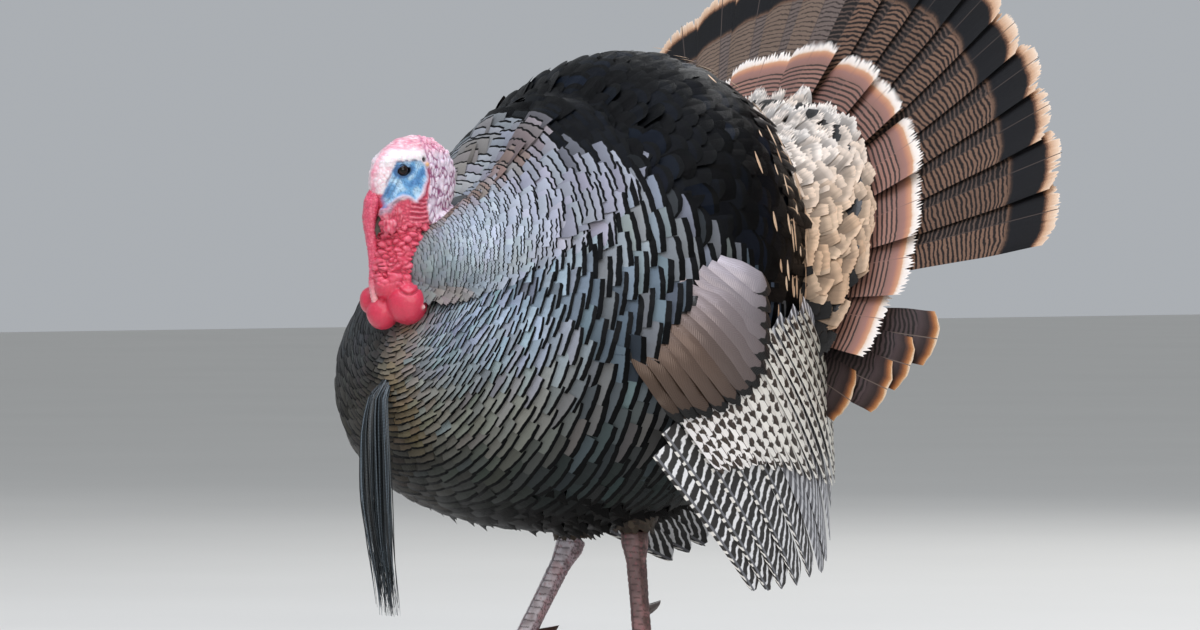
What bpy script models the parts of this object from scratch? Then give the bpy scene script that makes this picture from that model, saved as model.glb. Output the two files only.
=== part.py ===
"""A wild turkey tom in full strut, life size.

Metres, +Z up. The bird faces -Y and its left side is at +X. It is modelled with the middle of its
stance at the origin, and the last step slides it so that the origin is under the middle of its box.
"""

import math

import bmesh
import bpy
from mathutils import Matrix, Vector
from mathutils.bvhtree import BVHTree

GAP = 0.0003  # between pieces that touch

# Trunk: stations along Y as (y, top, bottom, half width, height of the widest point)
TRUNK_FRONT = (-0.264, 0.305)  # y, z of the foremost point of the breast
TRUNK_REAR = (0.192, 0.420)  # y, z of the point under the tail's root
TRUNK_STATIONS = [
    (-0.262, 0.330, 0.282, 0.034, 0.305),
    (-0.246, 0.366, 0.232, 0.095, 0.303),
    (-0.210, 0.404, 0.196, 0.145, 0.305),
    (-0.150, 0.468, 0.171, 0.184, 0.315),
    (-0.090, 0.542, 0.161, 0.203, 0.335),
    (-0.030, 0.604, 0.160, 0.206, 0.360),
    (0.030, 0.617, 0.170, 0.198, 0.375),
    (0.090, 0.600, 0.204, 0.172, 0.395),
    (0.140, 0.556, 0.262, 0.130, 0.410),
    (0.175, 0.500, 0.330, 0.080, 0.420),
    (0.190, 0.450, 0.385, 0.034, 0.420),
]
TRUNK_SIDES = 28
TRUNK_RINGS = 17
TRUNK_SQUARENESS = 2.15

# Feathered neck: stations along Y as (y, crest height, bottom, half width, depth of the groove on top)
NECK_STATIONS = [
    (-0.246, 0.432, 0.388, 0.034, 0.000),
    (-0.230, 0.454, 0.374, 0.064, 0.006),
    (-0.195, 0.482, 0.364, 0.098, 0.018),
    (-0.155, 0.516, 0.366, 0.126, 0.028),
    (-0.115, 0.564, 0.372, 0.146, 0.022),
    (-0.075, 0.590, 0.385, 0.152, 0.008),
]
NECK_TIP = (-0.250, 0.411)
NECK_SIDES = 22
NECK_RINGS = 9
NECK_GROOVE_HALF_WIDTH = 0.022
NECK_TOP_SQUARENESS = 1.3
NECK_BOTTOM_SQUARENESS = 2.2

# Head: stations up Z as (z, foremost y, rearmost y, half width)
HEAD_STATIONS = [
    (0.4473, -0.264, -0.210, 0.0175),
    (0.456, -0.266, -0.201, 0.0178),
    (0.468, -0.272, -0.192, 0.0186),
    (0.480, -0.279, -0.186, 0.0196),
    (0.492, -0.281, -0.185, 0.0202),
    (0.503, -0.279, -0.186, 0.0200),
    (0.513, -0.273, -0.189, 0.0196),
    (0.523, -0.263, -0.197, 0.0168),
    (0.531, -0.250, -0.210, 0.0108),
]
HEAD_CROWN = (-0.231, 0.535)
HEAD_SQUARENESS = 2.25
HEAD_TAPER = 0.10  # how much narrower the nape is than the face
HEAD_SIDES = 18
HEAD_RINGS = 9

# Bare throat: stations up Z as (z, middle y, half depth, half width)
THROAT_STATIONS = [
    (0.3953, -0.2500, 0.0235, 0.0200),
    (0.412, -0.2490, 0.0215, 0.0190),
    (0.430, -0.2450, 0.0225, 0.0185),
    (0.4467, -0.2370, 0.0265, 0.0176),
]
THROAT_SIDES = 14
THROAT_RINGS = 6
THROAT_FOLD_DEPTH = 0.0014

# Major caruncles under the throat: lobes as (x, y, z, radius)
CARUNCLE_LOBES = [
    (0.0150, -0.2500, 0.3770, 0.0195),
    (-0.0225, -0.2600, 0.3800, 0.0135),
    (-0.0050, -0.2630, 0.3690, 0.0155),
    (-0.0090, -0.2430, 0.3760, 0.0170),
]
CARUNCLE_TOP = 0.3950
CARUNCLE_LID = 0.1  # side of the block that levels their top

EYE_CENTRE = (0.0148, -0.2545, 0.5020)
EYE_RADIUS = 0.0062
EAR_CENTRE = (0.0200, -0.2240, 0.5060)
EAR_RADIUS = 0.0030

# Bill: root, slope below the horizontal, length, and the two halves' sections
BILL_ROOT = (-0.2530, 0.4690)  # y, z on the line of the mouth
BILL_SLOPE = math.radians(53)
BILL_LENGTH = 0.0370
BILL_SIDES = 10
UPPER_BILL = [  # share of the length, half width, height above the mouth line
    (0.00, 0.0095, 0.0130),
    (0.35, 0.0082, 0.0118),
    (0.65, 0.0060, 0.0088),
    (0.88, 0.0034, 0.0050),
]
LOWER_BILL = [  # share of the length, half width, depth below the mouth line
    (0.00, 0.0085, 0.0060),
    (0.35, 0.0072, 0.0055),
    (0.62, 0.0050, 0.0040),
    (0.78, 0.0030, 0.0024),
]
BILL_HOOK = 0.0022  # how far the upper tip drops past the mouth line

# Snood: (x, y, z, half width, half thickness) down its length
SNOOD_PATH = [
    (-0.0005, -0.2720, 0.4860, 0.0080, 0.0060),
    (-0.0040, -0.2780, 0.4730, 0.0080, 0.0062),
    (-0.0085, -0.2785, 0.4560, 0.0066, 0.0055),
    (-0.0105, -0.2770, 0.4370, 0.0048, 0.0044),
    (-0.0105, -0.2765, 0.4150, 0.0041, 0.0038),
    (-0.0085, -0.2800, 0.3960, 0.0038, 0.0034),
    (-0.0055, -0.2820, 0.3800, 0.0030, 0.0028),
]
SNOOD_SIDES = 8

# Beard: (y, z, half width, half thickness) down its length
BEARD_PATH = [
    (-0.2600, 0.3060, 0.0060, 0.0045),
    (-0.2720, 0.2900, 0.0110, 0.0075),
    (-0.2760, 0.2500, 0.0195, 0.0110),
    (-0.2750, 0.2050, 0.0220, 0.0125),
    (-0.2700, 0.1550, 0.0170, 0.0100),
    (-0.2640, 0.1150, 0.0085, 0.0055),
]
BEARD_TIP = (-0.2600, 0.0860)
BEARD_SIDES = 10

# Tail: quills spread on a shallow cone round an axis that points back and down
TAIL_ROOT = (0.0, 0.120, 0.376)
TAIL_AXIS_SLOPE = math.radians(-22)
TAIL_CONE = math.radians(80)
RAY_LENGTH = 0.8
TAIL_ROOT_RADIUS = 0.080  # where a sheet starts that the trunk is cut out of
FEATHER_STAND_OFF = 0.0030  # between the trunk and the roots of the tail's sheets
FEATHER_COLUMNS = [(0.0, 0.0, 1.0), (0.5, 0.6, 0.0), (0.93, 1.0, 0.7)]  # share across, of pleat, of notch
# Each sheet: feathers, half spread, length at its middle and edge, lift of its two faces off the cone at the
# root and the tip, the power by which the front's lift falls off, how far each feather's free edge rises, how
# far the corners between tips are cut back, and rows of points
TAIL_FAN = {
    "count": 18, "spread": math.radians(76), "length": (0.410, 0.414),
    "front": (0.0050, 0.0014), "back": (-0.0050, -0.0014), "power": 1,
    "pleat": 0.0022, "notch": 0.010, "rows": 4,
}
TAIL_COVERTS = {
    "count": 14, "spread": math.radians(96), "length": (0.285, 0.227),
    "front": (0.0200, 0.0090), "back": (0.0078, 0.0070), "power": 1,
    "pleat": 0.0020, "notch": 0.008, "rows": 3,
}
RUMP = {
    "count": 10, "spread": math.radians(104), "length": (0.226, 0.190),
    "front": (0.1030, 0.0190), "back": (0.0270, 0.0165), "power": 1.6,
    "pleat": 0.0020, "notch": 0.005, "rows": 4,
}
UNDERTAIL = {
    "count": 16, "spread": math.radians(138), "length": (0.155, 0.155),
    "front": (-0.0058, -0.0068), "back": (-0.0200, -0.0090), "power": 1,
    "pleat": -0.0016, "notch": 0.008, "rows": 3,
}
UNDERTAIL_EXTRA_LENGTH = 0.150
UNDERTAIL_LONGEST_ANGLE = math.radians(95)
UNDERTAIL_FALL_OFF = (math.radians(8), math.radians(18))  # above and below the longest

# Wing: the quills hang on an upright elliptic cylinder round the body
WING_HALF_WIDTH = 0.220
WING_HALF_DEPTH = 0.232
WING_CENTRE_Y = -0.020
WING_QUILL_COUNT = 10
WING_QUILL_THICKNESS = 0.0044
WING_PLEAT = 0.0020
WING_LEAN = 0.22  # share of the radius lost for each metre up
WING_TIP_HEIGHT = 0.20  # below it the wing hangs straight
WEB_LENGTH = 0.95  # share of a quill's length where its web meets the next one
# (share across the wing, root angle, root height, tip angle, tip height), angles from the side to the rear
LEFT_QUILLS = [
    (0.00, -22, 0.235, 5, 0.109),
    (0.20, -18, 0.268, 13, 0.107),
    (0.45, -10, 0.302, 25, 0.113),
    (0.70, 2, 0.336, 42, 0.130),
    (0.88, 16, 0.360, 56, 0.190),
    (1.00, 26, 0.370, 55, 0.262),
]
RIGHT_QUILLS = [  # held higher and further back
    (0.00, 4, 0.216, 57, 0.121),
    (0.20, 4, 0.252, 66, 0.131),
    (0.45, 8, 0.294, 71, 0.154),
    (0.70, 14, 0.330, 73, 0.186),
    (0.88, 22, 0.356, 72, 0.228),
    (1.00, 28, 0.370, 68, 0.272),
]
WING_QUILL_ROWS = 4
# Wing coverts: (share along, angle round, upper height, lower height)
WING_COVERTS = [
    (0.00, -35, 0.338, 0.330),
    (0.25, -25, 0.366, 0.300),
    (0.50, -15, 0.386, 0.276),
    (0.75, -4, 0.400, 0.278),
    (0.92, 4, 0.394, 0.310),
    (1.00, 7, 0.374, 0.340),
]
COVERT_GRID = (9, 5)  # points along and across
COVERT_RIM_LIFT = (0.0060, 0.0040)  # of the outer and inner face, off the wing's cylinder
COVERT_SWELL = (0.0130, -0.0200)

# Legs: hock and foot joint as (x, y, z)
LEFT_HOCK = (0.055, -0.009, 0.160)
LEFT_ANKLE = (0.056, 0.003, 0.026)
RIGHT_HOCK = (-0.055, 0.006, 0.150)
RIGHT_ANKLE = (-0.056, -0.072, 0.028)
THIGH_TOP_Z = 0.215
THIGH_SPLAY = 1.05
THIGH_SET_FORWARD = 0.010
THIGH_SIDES = 12
THIGH = [  # share down, half width, half depth
    (0.00, 0.036, 0.040),
    (0.55, 0.027, 0.030),
    (0.95, 0.016, 0.019),
]
SHANK = [  # share down, half width, half depth
    (0.00, 0.0105, 0.0140),
    (0.07, 0.0108, 0.0148),
    (0.20, 0.0078, 0.0108),
    (0.50, 0.0070, 0.0100),
    (0.80, 0.0076, 0.0102),
    (1.00, 0.0102, 0.0106),
]
PAD_RADIUS = 0.0125
PAD = [(0.0100, PAD_RADIUS), (0.0030, 0.0118), (0.0, 0.0095)]  # height, radius
SHANK_SIDES = 10

LEFT_SPUR_HEIGHT = 0.084
RIGHT_SPUR_HEIGHT = 0.058
SPUR_LENGTH = 0.036
SPUR_RISE = 0.0085
SPUR_TURN_IN = 0.30  # sideways share of the spur's heading
SPUR_SIDES = 6
SPUR = [(0.12, 0.0058), (0.45, 0.0046), (0.70, 0.0034), (0.88, 0.0020)]  # share out, radius

TOES = [  # name, heading from straight ahead (outward is positive), length without claw, radius at its root
    ("middle", 0, 0.062, 0.0080),
    ("inner", -38, 0.043, 0.0070),
    ("outer", 40, 0.046, 0.0068),
    ("hind", 172, 0.020, 0.0058),
]
TOE = [(0.0, 0.60), (0.20, 1.0), (0.46, 0.80), (0.72, 0.76), (1.0, 0.56)]  # share along, thickness
TOE_HEIGHT = 0.0082  # of the middle of its root
HIND_TOE_HEIGHT = 0.0170
SOLE_SHARE = 0.86  # of a toe's radius, from its middle down to the flat sole
TOE_SIDES = 8
CLAW = [(0.0, 0.0030), (0.35, 0.0027), (0.70, 0.0017)]  # share along, radius
CLAW_LENGTH = 0.016
CLAW_TIP_HEIGHT = 0.0004
CLAW_SIDES = 6

COLOURS = {  # sRGB, roughness
    "breast_plumage": ((0.24, 0.26, 0.26), 0.45),
    "neck_plumage": ((0.55, 0.56, 0.58), 0.55),
    "rump_plumage": ((0.55, 0.44, 0.34), 0.60),
    "tail_plumage": ((0.34, 0.24, 0.19), 0.60),
    "wing_plumage": ((0.45, 0.43, 0.40), 0.50),
    "thigh_plumage": ((0.16, 0.13, 0.11), 0.70),
    "crown_skin": ((0.80, 0.72, 0.76), 0.45),
    "wattle_skin": ((0.80, 0.16, 0.22), 0.35),
    "bill_horn": ((0.45, 0.40, 0.34), 0.40),
    "eye": ((0.06, 0.035, 0.03), 0.08),
    "beard_bristle": ((0.10, 0.10, 0.11), 0.50),
    "leg_scute": ((0.52, 0.36, 0.37), 0.45),
    "claw_horn": ((0.16, 0.13, 0.12), 0.35),
}


def clear_scene():
    for thing in list(bpy.data.objects):
        bpy.data.objects.remove(thing, do_unlink=True)


def new_collection(name):
    collection = bpy.data.collections.new(name)
    bpy.context.scene.collection.children.link(collection)
    return collection


def material(slot):
    """The Principled material of a slot, made the first time it is asked for."""
    found = bpy.data.materials.get(slot)
    if found:
        return found
    colour, roughness = COLOURS[slot]
    made = bpy.data.materials.new(slot)
    made.use_nodes = True
    shader = made.node_tree.nodes["Principled BSDF"]
    linear = [((c + 0.055) / 1.055) ** 2.4 if c > 0.04045 else c / 12.92 for c in colour]
    shader.inputs["Base Color"].default_value = (*linear, 1)
    shader.inputs["Roughness"].default_value = roughness
    return made


def finish(name, bm, slot):
    """Turns a bmesh into a named, smooth-shaded object of flat triangles that point outwards."""
    bmesh.ops.triangulate(bm, faces=bm.faces)
    bmesh.ops.recalc_face_normals(bm, faces=bm.faces)
    mesh = bpy.data.meshes.new(name)
    bm.to_mesh(mesh)
    bm.free()
    mesh.materials.append(material(slot))
    mesh.shade_smooth()
    mesh.set_sharp_from_angle(angle=math.radians(40))
    made = bpy.data.objects.new(name, mesh)
    parts.objects.link(made)
    uncut[name] = mesh.copy()
    return made


def curve_through(rows, t):
    """The values at t of a smooth curve through rows of (t, value, value, ...). It never overshoots a row."""
    i = 0
    while i < len(rows) - 2 and t > rows[i + 1][0]:
        i += 1

    def secant(j, k):
        return (rows[j + 1][k] - rows[j][k]) / (rows[j + 1][0] - rows[j][0])

    def slope(j, k):
        if j == 0:
            return secant(0, k)
        if j == len(rows) - 1:
            return secant(j - 1, k)
        before, after = secant(j - 1, k), secant(j, k)
        return 0.0 if before * after <= 0 else 2 * before * after / (before + after)

    span = rows[i + 1][0] - rows[i][0]
    u = (t - rows[i][0]) / span
    values = []
    for k in range(1, len(rows[0])):
        a, b = rows[i][k], rows[i + 1][k]
        m, n = slope(i, k) * span, slope(i + 1, k) * span
        values.append(
            a * (2 * u**3 - 3 * u**2 + 1) + m * (u**3 - 2 * u**2 + u)
            + b * (3 * u**2 - 2 * u**3) + n * (u**3 - u**2)
        )
    return values


def spread(rows, count):
    """count values of t, evenly spaced over the rows."""
    first, last = rows[0][0], rows[-1][0]
    return [first + (last - first) * i / (count - 1) for i in range(count)]


def rounded(value, power):
    """A sine or cosine pushed towards the corner of its superellipse."""
    return math.copysign(abs(value) ** (2 / power), value)


def loft(name, rings, slot, start=None, end=None):
    """Skins rings of equal length. Each end closes on a point, or with a flat face where none is given."""
    bm = bmesh.new()
    rows = [[bm.verts.new(p) for p in ring] for ring in rings]
    for lower, upper in zip(rows, rows[1:]):
        for i in range(len(lower)):
            j = (i + 1) % len(lower)
            bm.faces.new((lower[i], lower[j], upper[j], upper[i]))
    for row, point in ((rows[0], start), (rows[-1], end)):
        if point is None:
            bm.faces.new(row)
            continue
        pole = bm.verts.new(point)
        for i in range(len(row)):
            bm.faces.new((row[i], row[(i + 1) % len(row)], pole))
    return finish(name, bm, slot)


def tube(name, stations, sides, slot, end=None, floor=None, heading=None):
    """A loft of ellipses from (centre, side axis, half width, half thickness) stations.

    They stand square to the path, or to one heading where it is given, and nothing reaches below the floor.
    """
    rings = []
    for i, (centre, side, half_width, half_depth) in enumerate(stations):
        path = stations[min(i + 1, len(stations) - 1)][0] - stations[max(i - 1, 0)][0]
        ahead = (heading or path).normalized()
        across = (side - ahead * side.dot(ahead)).normalized()
        up = across.cross(ahead)
        ring = []
        for k in range(sides):
            a = 2 * math.pi * k / sides
            p = centre + across * half_width * math.cos(a) + up * half_depth * math.sin(a)
            if floor is not None:
                p.z = max(p.z, floor)
            ring.append(p)
        rings.append(ring)
    return loft(name, rings, slot, end=end)


def plate(name, front, back, slot):
    """A closed sheet between two grids of points that run along the same rows and columns."""
    bm = bmesh.new()
    rows, columns = len(front), len(front[0])
    faces = [[[bm.verts.new(p) for p in row] for row in grid] for grid in (front, back)]
    for near, flip in ((faces[0], False), (faces[1], True)):
        for i in range(rows - 1):
            for j in range(columns - 1):
                corner = (near[i][j], near[i][j + 1], near[i + 1][j + 1], near[i + 1][j])
                bm.faces.new(corner[::-1] if flip else corner)
    rim = [(0, j) for j in range(columns)]
    rim += [(i, columns - 1) for i in range(1, rows)]
    rim += [(rows - 1, j) for j in range(columns - 2, -1, -1)]
    rim += [(i, 0) for i in range(rows - 2, 0, -1)]
    for (i, j), (k, m) in zip(rim, rim[1:] + rim[:1]):
        bm.faces.new((faces[0][i][j], faces[1][i][j], faces[1][k][m], faces[0][k][m]))
    return finish(name, bm, slot)


def ball(name, centre, radius, slot, segments=12, rings=7, squash=(1, 1, 1)):
    bm = bmesh.new()
    bmesh.ops.create_uvsphere(bm, u_segments=segments, v_segments=rings, radius=radius)
    bmesh.ops.transform(bm, matrix=Matrix.Translation(centre) @ Matrix.Diagonal((*squash, 1)), verts=bm.verts)
    return finish(name, bm, slot)


def settle(piece):
    """Applies the modifiers of a piece and keeps its largest body, as flat triangles."""
    evaluated = piece.evaluated_get(bpy.context.evaluated_depsgraph_get())
    mesh = bpy.data.meshes.new_from_object(evaluated)
    piece.modifiers.clear()
    piece.data = mesh
    bm = bmesh.new()
    bm.from_mesh(mesh)
    bmesh.ops.remove_doubles(bm, verts=bm.verts, dist=0.00001)
    bmesh.ops.dissolve_degenerate(bm, dist=0.00001, edges=bm.edges)
    islands, seen = [], set()
    for first in bm.faces:
        if first in seen:
            continue
        island, todo = [], [first]
        seen.add(first)
        while todo:
            face = todo.pop()
            island.append(face)
            for edge in face.edges:
                for other in edge.link_faces:
                    if other not in seen:
                        seen.add(other)
                        todo.append(other)
        islands.append(island)
    islands.sort(key=lambda island: sum(face.calc_area() for face in island))
    for island in islands[:-1]:
        bmesh.ops.delete(bm, geom=island, context="FACES")
    loose = [v for v in bm.verts if not v.link_faces]
    bmesh.ops.delete(bm, geom=loose, context="VERTS")
    bmesh.ops.triangulate(bm, faces=bm.faces)
    bm.to_mesh(mesh)
    bm.free()
    mesh.shade_smooth()
    mesh.set_sharp_from_angle(angle=math.radians(40))


def boolean(piece, other, operation):
    modifier = piece.modifiers.new(operation.lower(), "BOOLEAN")
    modifier.operation = operation
    modifier.solver = "EXACT"
    modifier.object = other
    bpy.context.view_layer.update()
    settle(piece)


def cut_back(piece, *keepers):
    """Takes away what of a piece lies inside its neighbours, and a gap's width more."""
    for keeper in keepers:
        cutter = bpy.data.objects.new(f"cut_{piece.name}_by_{keeper.name}", uncut[keeper.name].copy())
        cutters.objects.link(cutter)
        cutter.hide_render = True
        cutter.display_type = "WIRE"
        normals = [v.normal.copy() for v in cutter.data.vertices]
        for v, normal in zip(cutter.data.vertices, normals):
            v.co += normal * GAP * 1.5
        boolean(piece, cutter, "DIFFERENCE")
    return piece


def make_trunk():
    rings = []
    for y in spread(TRUNK_STATIONS, TRUNK_RINGS):
        top, bottom, half_width, middle = curve_through(TRUNK_STATIONS, y)
        ring = []
        for i in range(TRUNK_SIDES):
            a = 2 * math.pi * i / TRUNK_SIDES
            x = half_width * rounded(math.cos(a), TRUNK_SQUARENESS)
            rise = rounded(math.sin(a), TRUNK_SQUARENESS)
            ring.append((x, y, middle + rise * (top - middle if rise > 0 else middle - bottom)))
        rings.append(ring)
    start = (0, *TRUNK_FRONT)
    end = (0, *TRUNK_REAR)
    return loft("trunk", rings, "breast_plumage", start, end)


def make_neck(trunk):
    """The thick roll of feathers behind the throat, with a groove along its top."""
    rings = []
    for y in spread(NECK_STATIONS, NECK_RINGS):
        crest, bottom, half_width, groove = curve_through(NECK_STATIONS, y)
        middle = (crest + bottom) / 2
        ring = []
        for i in range(NECK_SIDES):
            a = 2 * math.pi * i / NECK_SIDES
            power = NECK_TOP_SQUARENESS if math.sin(a) > 0 else NECK_BOTTOM_SQUARENESS
            x = half_width * rounded(math.cos(a), power)
            z = middle + (crest - middle) * rounded(math.sin(a), power)
            if z > middle:
                z -= groove * math.exp(-((x / NECK_GROOVE_HALF_WIDTH) ** 2))
            ring.append((x, y, z))
        rings.append(ring)
    neck = loft("neck", rings, "neck_plumage", (0, *NECK_TIP))
    return cut_back(neck, trunk)


def head_ring(z, front, back, half_width):
    """A level section of the head, narrower at the face than at the nape."""
    middle, half = (front + back) / 2, (back - front) / 2
    ring = []
    for i in range(HEAD_SIDES):
        a = 2 * math.pi * i / HEAD_SIDES
        ahead = -math.cos(a)
        x = half_width * rounded(math.sin(a), HEAD_SQUARENESS) * (1 + HEAD_TAPER * ahead)
        ring.append((x, middle + half * ahead, z))
    return ring


def make_head(neck, eyes, ears):
    rings = [head_ring(z, *curve_through(HEAD_STATIONS, z)) for z in spread(HEAD_STATIONS, HEAD_RINGS)]
    head = loft("head", rings, "crown_skin", end=(0, *HEAD_CROWN))
    return cut_back(head, neck, *eyes, *ears)


def make_throat(neck):
    """The bare front of the neck, in folds down to the big lobes."""
    rings = []
    for n, z in enumerate(spread(THROAT_STATIONS, THROAT_RINGS)):
        middle, half_depth, half_width = curve_through(THROAT_STATIONS, z)
        fold = THROAT_FOLD_DEPTH * (n % 2)
        ring = []
        for i in range(THROAT_SIDES):
            a = 2 * math.pi * i / THROAT_SIDES
            ring.append(((half_width - fold) * math.cos(a), middle + (half_depth - fold) * math.sin(a), z))
        rings.append(ring)
    return cut_back(loft("throat", rings, "wattle_skin"), neck)


def make_caruncles(neck, trunk):
    lobes = [
        ball(f"lobe_{n}", (x, y, z), radius, "wattle_skin", 10, 7)
        for n, (x, y, z, radius) in enumerate(CARUNCLE_LOBES)
    ]
    body = lobes[0]
    for lobe in lobes[1:]:
        boolean(body, lobe, "UNION")
        bpy.data.objects.remove(lobe, do_unlink=True)
    body.name = "caruncles"
    bm = bmesh.new()
    bmesh.ops.create_cube(bm, size=CARUNCLE_LID)
    bmesh.ops.translate(bm, vec=(0, CARUNCLE_LOBES[0][1], CARUNCLE_TOP + CARUNCLE_LID / 2), verts=bm.verts)
    lid = finish("lid", bm, "wattle_skin")
    boolean(body, lid, "DIFFERENCE")
    bpy.data.objects.remove(lid, do_unlink=True)
    uncut[body.name] = body.data.copy()
    return cut_back(body, neck, trunk)


def bill_half(name, stations, up, tip_drop, tip_share):
    """One half of the bill: D-shaped sections along the mouth line, flat side to the other half."""
    along = Vector((0, -math.cos(BILL_SLOPE), -math.sin(BILL_SLOPE)))
    dorsal = Vector((0, -math.sin(BILL_SLOPE), math.cos(BILL_SLOPE)))
    root = Vector((0, *BILL_ROOT))
    rings = []
    for share, half_width, height in stations:
        centre = root + along * BILL_LENGTH * share
        ring = []
        for i in range(BILL_SIDES):
            a = math.pi * i / (BILL_SIDES - 1)
            rise = up * (GAP / 2 + height * math.sin(a))
            ring.append(centre + Vector((half_width * math.cos(a), 0, 0)) + dorsal * rise)
        rings.append(ring)
    tip = root + along * BILL_LENGTH * tip_share + dorsal * up * (GAP - tip_drop)
    return loft(name, rings, "bill_horn", end=tip)


def make_snood(*neighbours):
    sideways = Vector((1, 0, 0))
    stations = [
        (Vector((x, y, z)), sideways, half_width, half_depth)
        for x, y, z, half_width, half_depth in SNOOD_PATH
    ]
    tip = stations[-1][0] + Vector((0.001, 0.0, -0.006))
    return cut_back(tube("snood", stations, SNOOD_SIDES, "wattle_skin", tip), *neighbours)


def make_beard(trunk):
    sideways = Vector((1, 0, 0))
    stations = [(Vector((0, y, z)), sideways, half_width, depth) for y, z, half_width, depth in BEARD_PATH]
    beard = tube("beard", stations, BEARD_SIDES, "beard_bristle", Vector((0, *BEARD_TIP)))
    return cut_back(beard, trunk)


def tail_point(radius, angle, lift):
    """A point of the tail's cone: out along a quill, round from the top, and forward off the cone."""
    back = Vector((0, math.cos(TAIL_AXIS_SLOPE), math.sin(TAIL_AXIS_SLOPE)))
    up = Vector((0, -math.sin(TAIL_AXIS_SLOPE), math.cos(TAIL_AXIS_SLOPE)))
    outward = up * math.cos(angle) + Vector((1, 0, 0)) * math.sin(angle)
    quill = back * math.cos(TAIL_CONE) + outward * math.sin(TAIL_CONE)
    forward = outward * math.cos(TAIL_CONE) - back * math.sin(TAIL_CONE)
    return Vector(TAIL_ROOT) + quill * radius + forward * lift


def trunk_exit(shell, angle, lift):
    """The radius at which a quill's line comes out of the trunk."""
    outside, root = tail_point(RAY_LENGTH, angle, lift), tail_point(0.0, angle, lift)
    hit, _, _, distance = shell.ray_cast(outside, (root - outside).normalized(), RAY_LENGTH)
    return RAY_LENGTH - distance if hit else 0.0


def feather_fan(name, slot, sheet, shell=None, extra_length=None):
    """Overlapping feathers joined into one sheet of the tail.

    The roots stand just off the shell, or start inside the trunk without one.
    """
    count, rows = sheet["count"], sheet["rows"]
    middle_length, edge_length = sheet["length"]
    columns = [((n + at) / count, rise, corner) for n in range(count) for at, rise, corner in FEATHER_COLUMNS]
    columns.append((1.0, 0.0, 1.0))
    faces = []
    for (root_lift, tip_lift), power in ((sheet["front"], sheet["power"]), (sheet["back"], 1)):
        grid = [[] for _ in range(rows)]
        for share, rise, corner in columns:
            round_from_top = 2 * share - 1
            angle = sheet["spread"] * round_from_top
            tip = middle_length + (edge_length - middle_length) * round_from_top**2 - sheet["notch"] * corner
            if extra_length:
                tip += extra_length(angle)
            inner = trunk_exit(shell, angle, root_lift) + FEATHER_STAND_OFF if shell else TAIL_ROOT_RADIUS
            for row in range(rows):
                out = row / (rows - 1)
                lift = tip_lift + (root_lift - tip_lift) * (1 - out) ** power + sheet["pleat"] * rise * out
                grid[row].append(tail_point(inner + (tip - inner) * out, angle, lift))
        faces.append(grid)
    return plate(name, faces[0], faces[1], slot)


def undertail_extra(angle):
    """Longest where the feathers show under the fan's lowest quills."""
    past = abs(angle) - UNDERTAIL_LONGEST_ANGLE
    off_longest = past / UNDERTAIL_FALL_OFF[past > 0]
    return UNDERTAIL_EXTRA_LENGTH * math.exp(-(off_longest**2))


def make_tail(trunk):
    """The fan, the coverts in front of it and the ones behind it."""
    shell = BVHTree.FromPolygons(
        [v.co.copy() for v in trunk.data.vertices], [tuple(p.vertices) for p in trunk.data.polygons]
    )
    fan = feather_fan("tail_fan", "tail_plumage", TAIL_FAN, shell)
    coverts = feather_fan("tail_coverts", "rump_plumage", TAIL_COVERTS, shell)
    undertail = feather_fan("undertail_coverts", "tail_plumage", UNDERTAIL, shell, undertail_extra)
    rump = cut_back(feather_fan("rump", "rump_plumage", RUMP), trunk)
    return fan, coverts, rump, undertail


def wing_point(side, angle, height, lift):
    """A point of the wing's upright cylinder, which leans out a little towards the tips."""
    lean = 1 - WING_LEAN * max(0.0, height - WING_TIP_HEIGHT)
    a = math.radians(angle)
    out = Vector((math.cos(a) / WING_HALF_WIDTH, math.sin(a) / WING_HALF_DEPTH, 0)).normalized()
    x = WING_HALF_WIDTH * lean * math.cos(a) + out.x * lift
    y = WING_CENTRE_Y + WING_HALF_DEPTH * lean * math.sin(a) + out.y * lift
    return Vector((side * x, y, height))


def make_wing_quills(side, suffix, stations):
    """The flight feathers, joined into one pleated sheet that hangs from the wing."""
    rows = WING_QUILL_ROWS
    columns = [(n / (2 * WING_QUILL_COUNT), n % 2) for n in range(2 * WING_QUILL_COUNT + 1)]
    faces = []
    for lift in (WING_QUILL_THICKNESS / 2, -WING_QUILL_THICKNESS / 2):
        grid = [[] for _ in range(rows)]
        for share, is_shaft in columns:
            root_angle, root_z, tip_angle, tip_z = curve_through(stations, share)
            for row in range(rows):
                out = row / (rows - 1)
                reach = out if is_shaft else out * WEB_LENGTH
                angle = root_angle + (tip_angle - root_angle) * reach
                height = root_z + (tip_z - root_z) * reach
                grid[row].append(wing_point(side, angle, height, lift + WING_PLEAT * is_shaft * out))
        faces.append(grid)
    return plate(f"wing_quills_{suffix}", faces[0], faces[1], "wing_plumage")


def make_wing_coverts(side, suffix):
    """The glossy cushion of coverts over the quills' roots."""
    along, across = COVERT_GRID
    faces = []
    for rim_lift, swell in zip(COVERT_RIM_LIFT, COVERT_SWELL):
        grid = []
        for share in spread(WING_COVERTS, along):
            angle, upper, lower = curve_through(WING_COVERTS, share)
            line = []
            for j in range(across):
                v = j / (across - 1)
                bulge = math.sin(math.pi * v) * math.sin(math.pi * (0.08 + 0.84 * share))
                line.append(wing_point(side, angle, lower + (upper - lower) * v, rim_lift + swell * bulge))
            grid.append(line)
        faces.append(grid)
    return plate(f"wing_{suffix}", faces[0], faces[1], "wing_plumage")


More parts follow.
